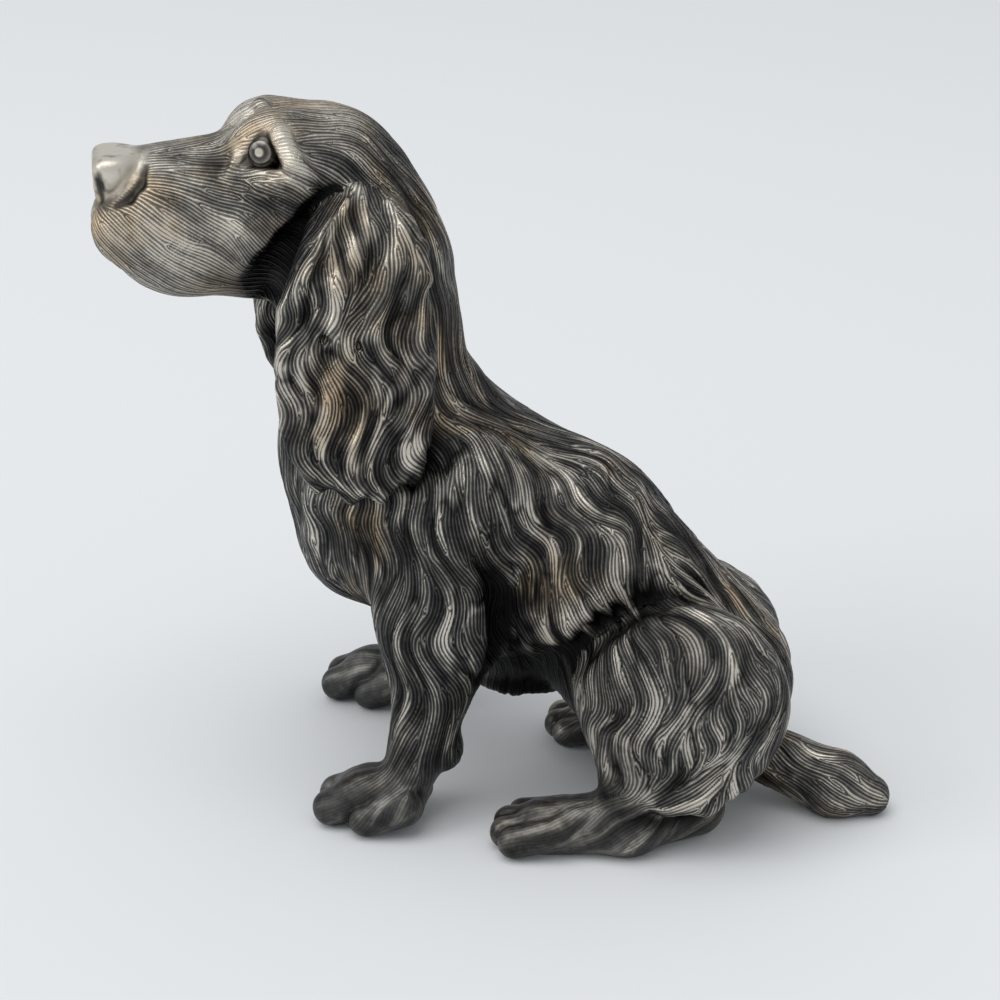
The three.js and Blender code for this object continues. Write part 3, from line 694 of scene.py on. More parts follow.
# Lie of the hair: place, direction, waviness, depth of strands and of locks in mm.
# Given for one side; the other side is its mirror.
bodyHair = [
    (-13, -3, 150, 0.15, 0, -1, 0.35, 0.35, 0.6), (-10, -8, 130, 0.4, -0.1, -0.9, 0.4, 0.38, 0.8),
    (-28, -24, 130, 0.2, 0, -1, 0.4, 0.38, 0.8), (-58, -4, 120, 0.05, 0, -1, 0.35, 0.38, 0.9),
    (-58, -6, 88, 0.05, 0, -1, 0.45, 0.4, 1.1), (-50, -8, 62, 0.6, 0, -0.8, 0.45, 0.4, 1.1),
    (0, -8, 119, 0.75, -0.15, -0.62, 0.45, 0.38, 0.9), (22, -8, 102, 0.75, -0.15, -0.64, 0.5, 0.38, 0.9),
    (45, -8, 85, 0.72, -0.12, -0.68, 0.5, 0.38, 0.9), (66, -8, 66, 0.58, -0.1, -0.8, 0.45, 0.36, 0.8),
    (82, -8, 42, 0.15, -0.05, -1, 0.4, 0.36, 0.8), (84, -6, 20, 0.25, 0, -1, 0.3, 0.36, 0.8),
    (-12, -33, 100, 0.25, -0.15, -0.95, 0.5, 0.4, 1.0), (8, -30, 95, 0.5, -0.2, -0.84, 0.6, 0.42, 1.1),
    (22, -25, 86, 0.55, -0.2, -0.8, 0.6, 0.42, 1.1), (12, -27, 66, 0.15, 0, -1, 0.6, 0.42, 1.1),
    (28, -26, 68, 0.3, 0, -0.95, 0.6, 0.42, 1.1), (44, -22, 74, 0.6, -0.2, -0.75, 0.5, 0.42, 1.0),
    (70, -24, 52, 0.3, -0.1, -0.95, 0.45, 0.4, 0.9), (2, -18, 38, 0.05, 0.3, -0.95, 0.4, 0.38, 0.9),
    (54, -42, 66, 0.55, -0.3, -0.6, 0.4, 0.2, 0.4), (34, -46, 54, -0.35, -0.2, -0.9, 0.6, 0.42, 1.0),
    (48, -49, 48, 0.25, 0, -1, 0.75, 0.45, 1.1), (62, -49, 46, -0.1, 0, -1, 0.75, 0.45, 1.1),
    (52, -47, 28, -0.5, 0, -0.85, 0.7, 0.45, 1.1), (70, -42, 28, -0.25, 0, -1, 0.6, 0.42, 1.0),
    (30, -46, 32, 0.2, 0, -1, 0.4, 0.35, 0.6), (80, -28, 40, 0.05, 0, -1, 0.45, 0.4, 0.9),
    (38, -44, 12, -0.9, 0, -0.4, 0.25, 0.22, 0.4), (14, -44, 9, -0.95, 0, -0.3, 0.15, 0.12, 0.1),
    (62, -32, 8, -0.9, 0, -0.3, 0.25, 0.25, 0.4), (84, -4, 14, 0.9, -0.1, -0.4, 0.25, 0.35, 0.6),
    (100, -8, 12, 0.92, -0.25, -0.35, 0.2, 0.35, 0.5), (108, -8, 6, 0.9, -0.3, -0.4, 0.15, 0.3, 0.4),
    (-12, -38, 78, 0.1, 0, -1, 0.5, 0.42, 1.1), (-24, -34, 66, -0.1, 0, -1, 0.45, 0.4, 1.0),
    (-2, -38, 58, 0.3, 0, -0.95, 0.5, 0.42, 1.1), (-15, -42, 45, 0.1, 0, -1, 0.45, 0.4, 0.9),
    (-4, -36, 34, 0.3, 0, -0.95, 0.4, 0.4, 0.9), (-18, -42, 24, -0.1, 0, -1, 0.35, 0.32, 0.5),
    (-24, -42, 14, -0.7, 0, -0.7, 0.2, 0.16, 0.2), (-40, -40, 8, -0.9, 0, -0.45, 0.12, 0.1, 0.1),
]
headHair = [
    (-100, -8, 183, 1, 0, 0.1, 0.05, 0.0, 0.0), (-86, -4, 187, 1, 0, 0.05, 0.1, 0.12, 0.0),
    (-92, -14, 174, 0.6, 0, -0.8, 0.15, 0.24, 0.05), (-100, -11, 163, 0.7, 0, -0.7, 0.15, 0.22, 0.05),
    (-84, -15, 175, 0.7, 0, -0.7, 0.15, 0.24, 0.05), (-94, -14, 166, 0.6, 0, -0.8, 0.15, 0.24, 0.05),
    (-85, -17, 166, 0.65, 0, -0.75, 0.15, 0.24, 0.05),
    (-90, -17, 160, 0.85, 0, -0.5, 0.15, 0.18, 0.05), (-92, -14, 150, 0.97, 0, -0.2, 0.12, 0.16, 0.05),
    (-76, -16, 170, 0.8, 0, -0.6, 0.2, 0.22, 0.08), (-76, -15, 150, 0.95, 0, -0.3, 0.15, 0.16, 0.08),
    (-66, -18, 174, 0.95, -0.1, -0.3, 0.25, 0.16, 0.1), (-62, -22, 162, 0.85, -0.2, -0.5, 0.25, 0.18, 0.1),
    (-64, -10, 195, 0.9, 0, 0.3, 0.2, 0.16, 0.1), (-52, -20, 186, 0.9, -0.2, 0.1, 0.25, 0.2, 0.15),
    (-48, -8, 196, 1, 0, 0, 0.25, 0.2, 0.2), (-34, -12, 190, 0.85, -0.1, -0.5, 0.3, 0.26, 0.35),
    (-36, -22, 178, 0.6, -0.3, -0.75, 0.35, 0.28, 0.4), (-22, -6, 176, 0.5, 0, -0.85, 0.35, 0.3, 0.5),
    (-18, -8, 155, 0.15, 0, -1, 0.35, 0.34, 0.6), (-56, -14, 142, 0.3, 0, -0.95, 0.3, 0.3, 0.6),
    (-40, -22, 142, 0.1, 0, -1, 0.3, 0.3, 0.6),
]
earHair = [
    (-45, -32, 176, -0.2, -0.3, -0.95, 0.3, 0.22, 0.5), (-52, -36, 162, -0.5, -0.1, -0.85, 0.55, 0.4, 1.3),
    (-38, -34, 162, 0.25, -0.1, -0.95, 0.6, 0.4, 1.4), (-58, -38, 145, -0.25, 0, -1, 0.65, 0.42, 1.5),
    (-44, -40, 142, 0.05, 0, -1, 0.75, 0.42, 1.5), (-28, -36, 142, 0.15, 0, -1, 0.7, 0.42, 1.5),
    (-58, -40, 124, 0.1, 0, -1, 0.7, 0.42, 1.4), (-42, -43, 120, 0.1, 0, -1, 0.8, 0.42, 1.5),
    (-28, -40, 120, 0.05, 0, -1, 0.75, 0.42, 1.5), (-52, -42, 106, 0.4, 0, -0.9, 0.5, 0.4, 1.2),
    (-38, -42, 104, 0.25, 0, -0.95, 0.5, 0.4, 1.2),
]
strandPitch = {"body": 1.95, "head": 1.8, "ear": 1.95}  # mm from ridge to ridge
flowCell = 4.0  # fineness of the hair grid


def hairRows(rows, pitch, onHead):
    # the rows for both sides, with the pitch of the strands added
    rows = np.array([(*row, pitch) for row in rows], float)
    other = rows.copy()
    other[:, [1, 4]] *= -1
    rows = np.concatenate([rows, other])
    if onHead:
        rows[:, 0:3] = np.stack(offHead(rows[:, 0:3].T), 1)
        way = rows[:, 3:6] + np.array([neckX, 0, 0])
        rows[:, 3:6] = np.stack(offHead(way.T), 1) - np.array([neckX, 0, 0])
    return rows


def hairGrid(rows, width):
    # the rows blended over a coarse grid
    n = np.ceil((gridHigh - gridLow) / flowCell).astype(int) + 2
    lines = [gridLow[i] + flowCell * np.arange(n[i]) for i in range(3)]
    flat = np.stack(np.meshgrid(*lines, indexing="ij"), -1).reshape(-1, 3)
    away = ((flat[:, None, :] - rows[None, :, :3]) ** 2).sum(2)
    weight = np.exp(-away / (2 * width ** 2)) + 1e-4 / (1 + away)
    weight /= weight.sum(1, keepdims=True)
    return (weight @ rows[:, 3:]).reshape(*n, 7).astype(np.float32)


latticeSide = 64  # a power of two
lattice = chance.standard_normal((latticeSide, latticeSide, latticeSide, 3)).astype(np.float32)


def noise(p, size, channel=0):
    # smooth random values with features of a size in mm
    q = p / size + 1000.0
    i = np.floor(q).astype(np.int32)
    t = (q - i).astype(np.float32)
    t = t * t * (3 - 2 * t)
    i &= latticeSide - 1
    j = (i + 1) & (latticeSide - 1)
    values = lattice[..., channel].ravel()
    out = 0
    for c in range(8):
        pick = [j[:, k] if (c >> k) & 1 else i[:, k] for k in range(3)]
        w = 1
        for k in range(3):
            w = w * (t[:, k] if (c >> k) & 1 else 1 - t[:, k])
        out = out + values[(pick[0] * latticeSide + pick[1]) * latticeSide + pick[2]] * w
    return out


# waves, streaks and locks in mm, turns in radians, then passes and shares of the depths above
coatSizes = {
    "curl": 31.0, "slant": 0.35, "curlTurn": 0.85, "drift": 27.0, "driftTurn": 3.0,
    "bend": 9.0, "bendTurn": 0.16, "streak": 2.0, "streakRun": 8.0, "lock": 3.6, "lockRun": 13.0,
    "step": 1.0, "bodyReach": 11.0, "earReach": 9.0, "coarseTurns": 160, "fineTurns": 40,
    "strandRise": 0.6, "lockRise": 0.45, "toeCleft": 0.7, "footSmooth": 0.65, "headDepth": 1.9,
}


def lieAt(grid, p, n):
    # direction of the hair on the skin, with its waves
    lie = sample(grid, gridLow, flowCell, p)
    way = unit(lie[:, :3] - (lie[:, :3] * n).sum(1, keepdims=True) * n)
    s = coatSizes
    along = 2 * np.pi * (s["slant"] * p[:, 0] - p[:, 2]) / s["curl"]
    along = along + s["driftTurn"] * noise(p, s["drift"])
    turn = s["curlTurn"] * lie[:, 3] * np.sin(along) + s["bendTurn"] * noise(p, s["bend"])
    return np.cos(turn)[:, None] * way + np.sin(turn)[:, None] * np.cross(n, way), lie[:, 4:]


def comb(p, n, grid):
    # noise drawn out along the lie of the hair, in fine streaks and in locks
    s = coatSizes
    steps, fewer = int(s["lockRun"] / s["step"]), int(s["streakRun"] / s["step"])
    streak, lock = noise(p, s["streak"], 1), noise(p, s["lock"], 2)
    for sign in (1, -1):
        q, m = p.copy(), n
        for k in range(1, steps + 1):
            q = q + sign * s["step"] * lieAt(grid, q, m)[0]
            near = sample(slopes, gridLow, cell, q)
            m = unit(near[:, 1:])
            q = q - np.clip(near[:, 0], -1.5, 1.5)[:, None] * m
            if k <= fewer:
                streak = streak + noise(q, s["streak"], 1) * math.cos(0.5 * math.pi * k / (fewer + 1))
            lock = lock + noise(q, s["lock"], 2) * math.cos(0.5 * math.pi * k / (steps + 1))
    return streak / streak.std(), lock / lock.std()


def waves(p, across, pitch, pairs, start, turns):
    # ridges a set pitch apart across the hair, each point agreeing with its neighbours
    a, b = pairs[:, 0], pairs[:, 1]
    gap = p[b] - p[a]
    side = ((across[a] + across[b]) * gap).sum(1) / 2
    keep = 1.15 - np.minimum(1, side ** 2 / np.maximum((gap * gap).sum(1), 1e-9))
    spin = keep * np.exp(4j * np.pi * side / (pitch[a] + pitch[b]))
    wave = start
    for turn in range(turns):
        toB, toA = wave[a] * spin, wave[b] * spin.conj()
        total = wave + np.bincount(b, toB.real, len(p)) + np.bincount(a, toA.real, len(p))
        total = total + 1j * (np.bincount(b, toB.imag, len(p)) + np.bincount(a, toA.imag, len(p)))
        wave = total / np.maximum(np.abs(total), 1e-9)
    return wave


skinOwner = np.zeros(len(points), np.int16)
skinOwner[skinQuads.ravel()] = np.repeat(skinOf, 4)
skinOwner = skinOwner[skinIds]


def onPiece(*wanted):
    # the points of the skin that belong to some castings
    return np.isin(skinOwner, [names.index(name) + 1 for name in wanted])


isHead, isTail = onPiece("head_shell"), onPiece("tail")
isEar = onPiece("left_ear", "right_ear")
isLeg = onPiece(*[name for name in names if name.endswith("leg")])
skinRows = np.concatenate([hairRows(bodyHair, strandPitch["body"], False),
                           hairRows(headHair, strandPitch["head"], True)])
earRows = hairRows(earHair, strandPitch["ear"], True)
groups = [
    (~isEar, hairGrid(skinRows, coatSizes["bodyReach"])),
    (isEar, hairGrid(earRows, coatSizes["earReach"])),
]
streak, lock = np.zeros(len(skin)), np.zeros(len(skin))
lieWay, lieSizes = np.zeros((len(skin), 3)), np.zeros((len(skin), 3))
for on, grid in groups:
    streak[on], lock[on] = comb(skin[on], normal[on], grid)
    lieWay[on], lieSizes[on] = lieAt(grid, skin[on], normal[on])
fineDepth, lockDepth, pitch = lieSizes.T
across = np.cross(normal, lieWay)
coarse = np.flatnonzero(skinIds < coarseCount)
slot = np.full(coarseCount, -1, np.int64)
slot[skinIds[coarse]] = np.arange(len(coarse))
start = np.exp(2j * np.pi * chance.random(len(coarse)))
wave = np.zeros(len(skin), complex)
coarseEnds = edgesOf(slot[coarseQuads])
turns = coatSizes["coarseTurns"]
wave[coarse] = waves(skin[coarse], across[coarse], pitch[coarse], coarseEnds, start, turns)
wave = waves(skin, across, pitch, ends, wave, coatSizes["fineTurns"])
print("combed")

# main locks of the flanks and ears
onLock = np.full(len(skin), 9.0)
for places, radii in flankLocks():
    onLock = np.minimum(onLock, rope(skin.T, places, radii))
skinX, skinY, skinZ = skin.T
headX, headY, headZ = ontoHead(skin.T)
m = [headX, np.abs(headY), headZ]
earLock = rope(m, earSizes["rim"], earSizes["rimRadii"])
for places, radii in earLocks():
    earLock = np.minimum(earLock, rope(m, places, radii))
onLock = np.where(isEar, earLock, onLock)

# the smooth feet, the lines between their toes, the haunch's hem and the shadow below it
hindFrom = 5.0  # the hind legs lie behind this place along X
foot = isLeg * fade(skinZ, 22, 12) * (skinX < hindFrom)
betweenToes, skirtEdge, skirtShade = np.zeros((3, len(skin)))
for side in ("left", "right"):
    on = onPiece(side + "_foreleg")
    betweenToes[on] = cleft(skin[on].T, foreTip(side), foreToes)
    on = onPiece(side + "_hind_leg")
    betweenToes[on] = cleft(skin[on].T, hindTip(side), hindToes)
    past = haunchForm(skin[on].T, side) - footForm(skin[on].T, side)
    foot[on] = fade(past, -0.8, 1.2)
    skirtEdge[on] = hump(past, -2.2, 1.8)
    skirtShade[on] = hump(past, 3, 3)

# smooth places: soles, nose pad, nostrils and lids
offNose = fade(nosePad(m), 0, 1.2)
besideNose = fade(nosePad(m), 1.6, 3.2)
inLids = fade(lidGap(m), 0.4, 0) * (m[1] > 10)
inSlots = fade(np.minimum(faceLine(m, "nostril"), faceLine(m, "wing")), 0.7, 0) * (headX < -90)
# painted shade in the hollow of the cheek and round it
cheekAway = rope(m, headSizes["hollow"], headSizes["hollowRadii"])
inCheek = fade(cheekAway, 2.5, 0) * isHead
byCheek = fade(cheekAway, 15, 0) ** 2 * isHead
calm = fade(skinZ, 0, 2.5) * besideNose * (1 - inLids) * (1 - inSlots)
s = coatSizes
relief = calm * fineDepth * (1 - s["footSmooth"] * foot) * np.where(isHead, s["headDepth"], 1)
crest = 1 - (np.angle(wave) / np.pi) ** 2
thickLock = np.minimum(np.abs(lock), 1.6)
rise = s["strandRise"] * relief * (crest - 0.6) + s["lockRise"] * calm * lockDepth * (thickLock - 0.7)

# the ragged hem of the flank's hair, as places along X and Z
hem = {
    "x": [4, 10, 17, 26, 33, 43, 55, 66], "z": [50, 51.5, 54, 59, 65.5, 71, 72, 68],
    "step": 1.4, "rag": 2.2,
}
offSpine = np.abs(skinY) > 8
flank = onPiece("torso_left", "torso_right") & offSpine
span = fade(skinX, 4, 10) * fade(skinX, 66, 58)
above = skinZ - np.interp(skinX, hem["x"], hem["z"]) + hem["rag"] * (lock + 0.5 * streak)
over = fade(above, -3, 3)
over = over * over * (3 - 2 * over)
near = np.exp(-np.maximum(above, 0) / 18) * np.exp(-np.maximum(-above, 0) / 12)
rise = rise + span * flank * near * hem["step"] * (over - 0.6) - s["toeCleft"] * betweenToes
offFore = ~onPiece("left_foreleg", "right_foreleg", "tail")
# painted shadow under the flank's hem and on the belly, and painted shade behind the elbow
under = span * offFore * offSpine * (1 - over) * np.exp(-np.maximum(-above, 0) / 11)
belly = flank * fade(skinZ - 2 * lock, 58, 46) * fade(skinX, -6, 2)
inElbow = np.zeros(len(skin))
for line, radii in bothSides(0):
    inElbow = np.maximum(inElbow, fade(rope(skin.T, line, radii), 3, 0))

# the thin painted shadow between two locks and the painted highlight on the edge beside it
inLocks = fade(lockDepth, 0, 0.9)
parting = fade(np.abs(lock), 0.26, 0) * inLocks * calm
edge = hump(lock, 0.6, 0.25) * inLocks * calm
shaped = skin + rise[:, None] * normal
shaped[:, 2] = np.maximum(shaped[:, 2], 0)
points[skinIds] = shaped
corners = [shaped[ring[:, i]] for i in range(4)]
facing = np.cross(corners[2] - corners[0], corners[3] - corners[1])
summed = [np.bincount(ring.ravel(), np.repeat(facing[:, i], 4), len(skin)) for i in range(3)]
skinNormal = unit(np.stack(summed, 1))

# how deep each point lies below its surroundings, used for painted shade in the hollows and partly for
# their black patina
shelter = np.zeros(len(skin), np.float32)
for d in (2.5, 6.0, 12.0):
    shelter += fade(sample(slopes, gridLow, cell, skin + d * normal)[:, 0], d, 0) / 3
hollow = np.clip(0.5 - 0.35 * thickLock, 0, 1) * inLocks
print("coat shaped, rise", rise.min(), rise.max())


def toLinear(hexCode):
    # sRGB hex to linear colour
    parts = [int(hexCode[i:i + 2], 16) / 255 for i in (1, 3, 5)]
    return [v / 12.92 if v <= 0.04045 else ((v + 0.055) / 1.055) ** 2.4 for v in parts] + [1.0]


def addNode(tree, kind, settings=None, links=None, out=0):
    # adds a node with its settings and links, and gives back one of its outputs
    node = tree.nodes.new(kind)
    for key, value in (settings or {}).items():
        if key == "stops":  # places and colours along a ramp
            band = node.color_ramp.elements
            while len(band) < len(value):
                band.new(0.5)
            for item, (place, code) in zip(band, value):
                item.position = place
                item.color = toLinear(code)
        elif isinstance(key, str) and hasattr(node, key):
            setattr(node, key, value)
        else:
            node.inputs[key].default_value = value
    for key, source in (links or {}).items():
        tree.links.new(source, node.inputs[key])
    return node.outputs[out]


def newMaterial(name, metallic, roughness):
    material = bpy.data.materials.new(name)
    material.use_nodes = True
    tree = material.node_tree
    shader = tree.nodes["Principled BSDF"]
    shader.inputs["Metallic"].default_value = metallic
    shader.inputs["Roughness"].default_value = roughness
    return material, tree, shader


coatLook = {
    "hairs": 2.0, "fineHairs": 4.0, "uneven": 0.24, "share": 0.85, "fineShare": 0.15, "middle": 0.48,
    "patch": 0.06, "pits": 0.06, "bump": 0.7, "metallic": 0.9, "roughDark": 0.52, "roughBright": 0.4,
    "patchSize": 2.0, "cloudSize": 22.22, "pitSize": 0.769,  # in mm
    "tones": [(0.0, "#121213"), (0.25, "#2c2c2d"), (0.5, "#50504e"), (0.75, "#8a8781"), (1.0, "#dcd7cc")],
    # the black on the next line is the painted shade of the recesses, partly their black patina
    "tarnish": "#efd9bd", "shadeBlack": "#0a0a0b",
}


def silverCoat():
    # cast silver, blackened all over and rubbed back: the strands gleam and the grooves stay dark; painted
    # light, painted highlights and painted shade are mixed into its tone too
    s = coatLook
    material, tree, shader = newMaterial("cast silver, oxidised", s["metallic"], s["roughDark"])
    made = {}  # outputs of the nodes, by name
    for name in ("waveCos", "waveSin", "streak", "relief", "narrow", "rub", "warm", "deep"):
        made[name] = addNode(tree, "ShaderNodeAttribute", {"attribute_name": name}, out="Fac")
    place = addNode(tree, "ShaderNodeTexCoord", out="Object")
    for name, detail in (("patch", 3.0), ("cloud", 2.0), ("pit", 2.0)):
        settings = {"Scale": 1000 / s[name + "Size"], "Detail": detail}
        made[name] = addNode(tree, "ShaderNodeTexNoise", settings, {"Vector": place})

    # each step: name, sum, then the numbers or the names of outputs that go in
    steps = [
        ("strong", "RANGE", "streak", -1.6, 1.4, 0.55 * s["share"], s["share"]),
        ("clear", "RANGE", "relief", 0.0, 0.36, 0.0, 1.0),
        ("patchy", "RANGE", "patch", 0.3, 0.7, -s["patch"], s["patch"]),
        ("clouded", "RANGE", "cloud", 0.46, 0.66, 0.1, 0.9),
        # two hairs to each strand of the coat and finer lines between them, unevenly set
        ("angle", "ARCTAN2", "waveSin", "waveCos"),
        ("turn", "DIVIDE", "angle", math.pi),
        ("uneven", "MULTIPLY", "streak", s["uneven"]),
        ("across", "MULTIPLY_ADD", "turn", s["hairs"], "uneven"),
        ("groove", "PINGPONG", "across", 1.0),
        ("crest", "SUBTRACT", 1.0, "groove"),
        ("ridge", "POWER", "crest", "narrow"),
        ("fineAcross", "MULTIPLY_ADD", "turn", s["fineHairs"], "uneven"),
        ("fineGroove", "PINGPONG", "fineAcross", 1.0),
        ("fineCrest", "SUBTRACT", 1.0, "fineGroove"),
        ("fineHair", "MULTIPLY", "fineCrest", s["fineShare"]),
        ("hair", "MULTIPLY_ADD", "ridge", "strong", "fineHair"),
        # worn bright along the hairs, by the rubbing and in patches, with the painted light and shade that
        # the rubbing values carry
        ("bright", "SUBTRACT", "hair", s["middle"]),
        ("rubbed", "MULTIPLY_ADD", "bright", "clear", "rub"),
        ("worn", "ADD", "rubbed", "patchy"),
        ("rough", "RANGE", "worn", 0.0, 1.0, s["roughDark"], s["roughBright"]),
        ("tarnish", "MULTIPLY", "clouded", "warm"),
        ("pits", "MULTIPLY", "pit", s["pits"]),
        ("height", "MULTIPLY_ADD", "hair", "relief", "pits"),
    ]
    for name, kind, *terms in steps:
        settings = {i: term for i, term in enumerate(terms) if not isinstance(term, str)}
        links = {i: made[term] for i, term in enumerate(terms) if isinstance(term, str)}
        if kind == "RANGE":
            made[name] = addNode(tree, "ShaderNodeMapRange", settings, links)
        else:
            made[name] = addNode(tree, "ShaderNodeMath", {"operation": kind, **settings}, links)

    # brown tarnish in broad clouds, then the painted shade of the recesses, partly their black patina; 6
    # and 7 are the mix node's colours
    tone = addNode(tree, "ShaderNodeValToRGB", {"stops": s["tones"]}, {"Fac": made["worn"]})
    settings = {"data_type": "RGBA", "blend_type": "MULTIPLY", 7: toLinear(s["tarnish"])}
    tone = addNode(tree, "ShaderNodeMix", settings, {0: made["tarnish"], 6: tone}, out=2)
    settings = {"data_type": "RGBA", 7: toLinear(s["shadeBlack"])}
    tone = addNode(tree, "ShaderNodeMix", settings, {0: made["deep"], 6: tone}, out=2)
    settings = {"Strength": s["bump"], "Distance": 0.001}
    bump = addNode(tree, "ShaderNodeBump", settings, {"Height": made["height"]})
    tree.links.new(tone, shader.inputs["Base Color"])
    tree.links.new(made["rough"], shader.inputs["Roughness"])
    tree.links.new(bump, shader.inputs["Normal"])
    return material


def grainy(name, metallic, roughness, grain, detail, stops):
    # a metal whose tone varies in grains of a size in mm
    material, tree, shader = newMaterial(name, metallic, roughness)
    place = addNode(tree, "ShaderNodeTexCoord", out="Object")
    settings = {"Scale": 1000 / grain, "Detail": detail}
    specks = addNode(tree, "ShaderNodeTexNoise", settings, {"Vector": place})
    tone = addNode(tree, "ShaderNodeValToRGB", {"stops": stops}, {"Fac": specks})
    tree.links.new(tone, shader.inputs["Base Color"])
    return material


def brassStock():
    # drawn brass rod and sheet, left bare inside the casting: a soft yellow sheen
    stops = [(0.3, "#8a6a34"), (0.7, "#b08d4c")]
    return grainy("drawn brass, bare", 1.0, 0.42, 1.11, 3.0, stops)


def plateShadeBlack():
    # the same cast silver, filed flat and coloured nearly black as painted shade, because it sits in the
    # shadow under the belly: dull
    stops = [(0.3, "#0d0d0e"), (0.7, "#1c1c1d")]
    return grainy("cast silver plate, black as painted shade", 0.95, 0.5, 2.38, 4.0, stops)


def beadSilver():
    # cast silver bead, blackened in its grooves and polished: pupil and ring shine, with a painted
    # highlight on the pupil and another in a crescent below the iris
    material, tree, shader = newMaterial("cast silver, polished bead", 0.95, 0.26)
    rub = addNode(tree, "ShaderNodeAttribute", {"attribute_name": "rub"}, out="Fac")
    stops = [(0.0, "#1c1c1d"), (0.45, "#5c5a56"), (0.8, "#b5afa4"), (1.0, "#e6dfd2")]
    tone = addNode(tree, "ShaderNodeValToRGB", {"stops": stops}, {"Fac": rub})
    tree.links.new(tone, shader.inputs["Base Color"])
    return material


def paperSheet():
    # paper rolled on a mill, left uncoated: an even pale grey without gloss
    material, tree, shader = newMaterial("matt paper sheet", 0.0, 0.9)
    shader.inputs["Base Color"].default_value = toLinear("#e4e6e8")
    return material


silver = silverCoat()
bead = beadSilver()
plateInShade = plateShadeBlack()
brass = brassStock()
paper = paperSheet()
print("materials made")


def meshObject(name, vertices, loops, sizes, normals, values, material):
    mesh = bpy.data.meshes.new(name)
    mesh.vertices.add(len(vertices))
    mesh.vertices.foreach_set("co", vertices.astype(np.float32).ravel())
    mesh.loops.add(len(loops))
    mesh.loops.foreach_set("vertex_index", loops.astype(np.int32))
    mesh.polygons.add(len(sizes))
    mesh.polygons.foreach_set("loop_start", (np.cumsum(sizes) - sizes).astype(np.int32))
    mesh.update(calc_edges=True)
    mesh.polygons.foreach_set("use_smooth", np.ones(len(sizes), bool))
    for key, column in values.items():
        mesh.attributes.new(key, "FLOAT", "POINT").data.foreach_set("value", column.astype(np.float32))
    mesh.normals_split_custom_set_from_vertices(normals.tolist())
    mesh.materials.append(material)
    made = bpy.data.objects.new(name, mesh)
    bpy.context.scene.collection.objects.link(made)
    return made


# parts of the head and the locks that take the rubbing
top = fade(skinZ, 182, 191) * fade(headX, -28, -44)
face = np.maximum(fade(headX, -46, -60), top) * fade(skinZ, 140, 148) * ~isEar
underEye = hump(headX, -64, 11) * hump(headZ, 175.5, 4.5) * face
beforeEye = hump(headX, -75, 5) * hump(headZ, 182, 4) * face
onLid = fade(faceLine(m, "lid"), 0.8, 0) * fade(headX, -68, -65) * face
onFold = fade(faceLine(m, "fold"), 2.2, 0) * fade(skinZ, 195, 192) * face
mottle = 0.1 * noise(skin, 3.2) + 0.09 * noise(skin, 1.3, 1)
ridge = np.clip(np.abs(lock) - 0.8, -0.5, 0.7) * inLocks
mainLock = (fade(onLock, 1.2, 0) - 0.3) * (1 - face) * ~isLeg

# how far each place is rubbed back to bright metal, as weight and place; among them are painted light and
# shade: the upper sides lighter as if lit from above, the breast and forelegs darker as if shaded, and a
# painted highlight on the edges of locks
wearAndLightParts = {
    # the upper sides: painted light, lighter where the surface faces up and darker where it faces down
    "whole coat": (0.43, 1.0), "upper sides": (0.05, normal[:, 2]),
    "streaks": (0.08, streak * (1 - 0.7 * face)),
    # the edges of locks carry a painted highlight
    "locks": (0.06, ridge), "edges of locks": (0.26, edge),
    "main locks": (0.2, mainLock), "locks of the ears": (0.1, mainLock * isEar), "ears": (0.02, isEar),
    "face": (0.3, face), "patches of the face": (0.1, face * noise(skin, 8.0, 2)),
    "nose": (0.3, 1 - offNose), "specks of the nose": (1.0, mottle * (1 - offNose)),
    "fold of the eye": (0.34, onFold), "lid": (0.1, onLid),
    "under the eye": (-0.5, underEye), "before the eye": (-0.34, beforeEye),
    # the breast here and the forelegs on the next line: painted shade
    "flanks": (0.03, flank), "breast": (-0.06, (skinX < -40) * (1 - face)),
    "forelegs": (-0.07, isLeg & (skinX < hindFrom)), "feet": (0.1, foot),
    "haunches": (0.05, (isLeg & (skinX > hindFrom)) * (1 - foot)), "haunch hem": (0.22, skirtEdge),
    "rump": (0.06, fade(skinX, 50, 70)), "tail": (0.1, isTail),
}
# painted shade: how black the recesses are made, for their shadow and in part for the black patina in them
shades = {
    "sheltered": (0.8, shelter), "between locks": (0.24, hollow), "partings": (0.5, parting),
    "under the flank's hem": (0.8, under), "belly": (0.75, belly), "behind the elbow": (0.85, inElbow),
    "between toes": (0.7, betweenToes), "under the haunch's hem": (0.55, skirtShade),
    "between the lids": (0.4, inLids), "nostrils": (0.65, inSlots),
    "hollow of the cheek": (0.8, inCheek), "round that hollow": (0.6, byCheek),
}
rub = sum(weight * place for weight, place in wearAndLightParts.values())
shade = sum(weight * place for weight, place in shades.values())
warm = (1 - 0.8 * isLeg) * np.where(skinX < -40, np.maximum(face, 0.6 * isEar), 1)
coat = {
    "waveCos": wave.real, "waveSin": wave.imag, "streak": streak * (1 - 0.6 * face),
    "relief": relief, "narrow": 0.55 - 0.1 * face,
    "rub": rub, "warm": warm, "deep": np.clip(shade, 0, 1),
}
spread = {key: np.zeros(len(points), np.float32) for key in coat}
for key in coat:
    spread[key][skinIds] = coat[key]
allNormal = np.tile(np.array([0.0, 0.0, 1.0]), (len(points), 1))
allNormal[skinIds] = skinNormal
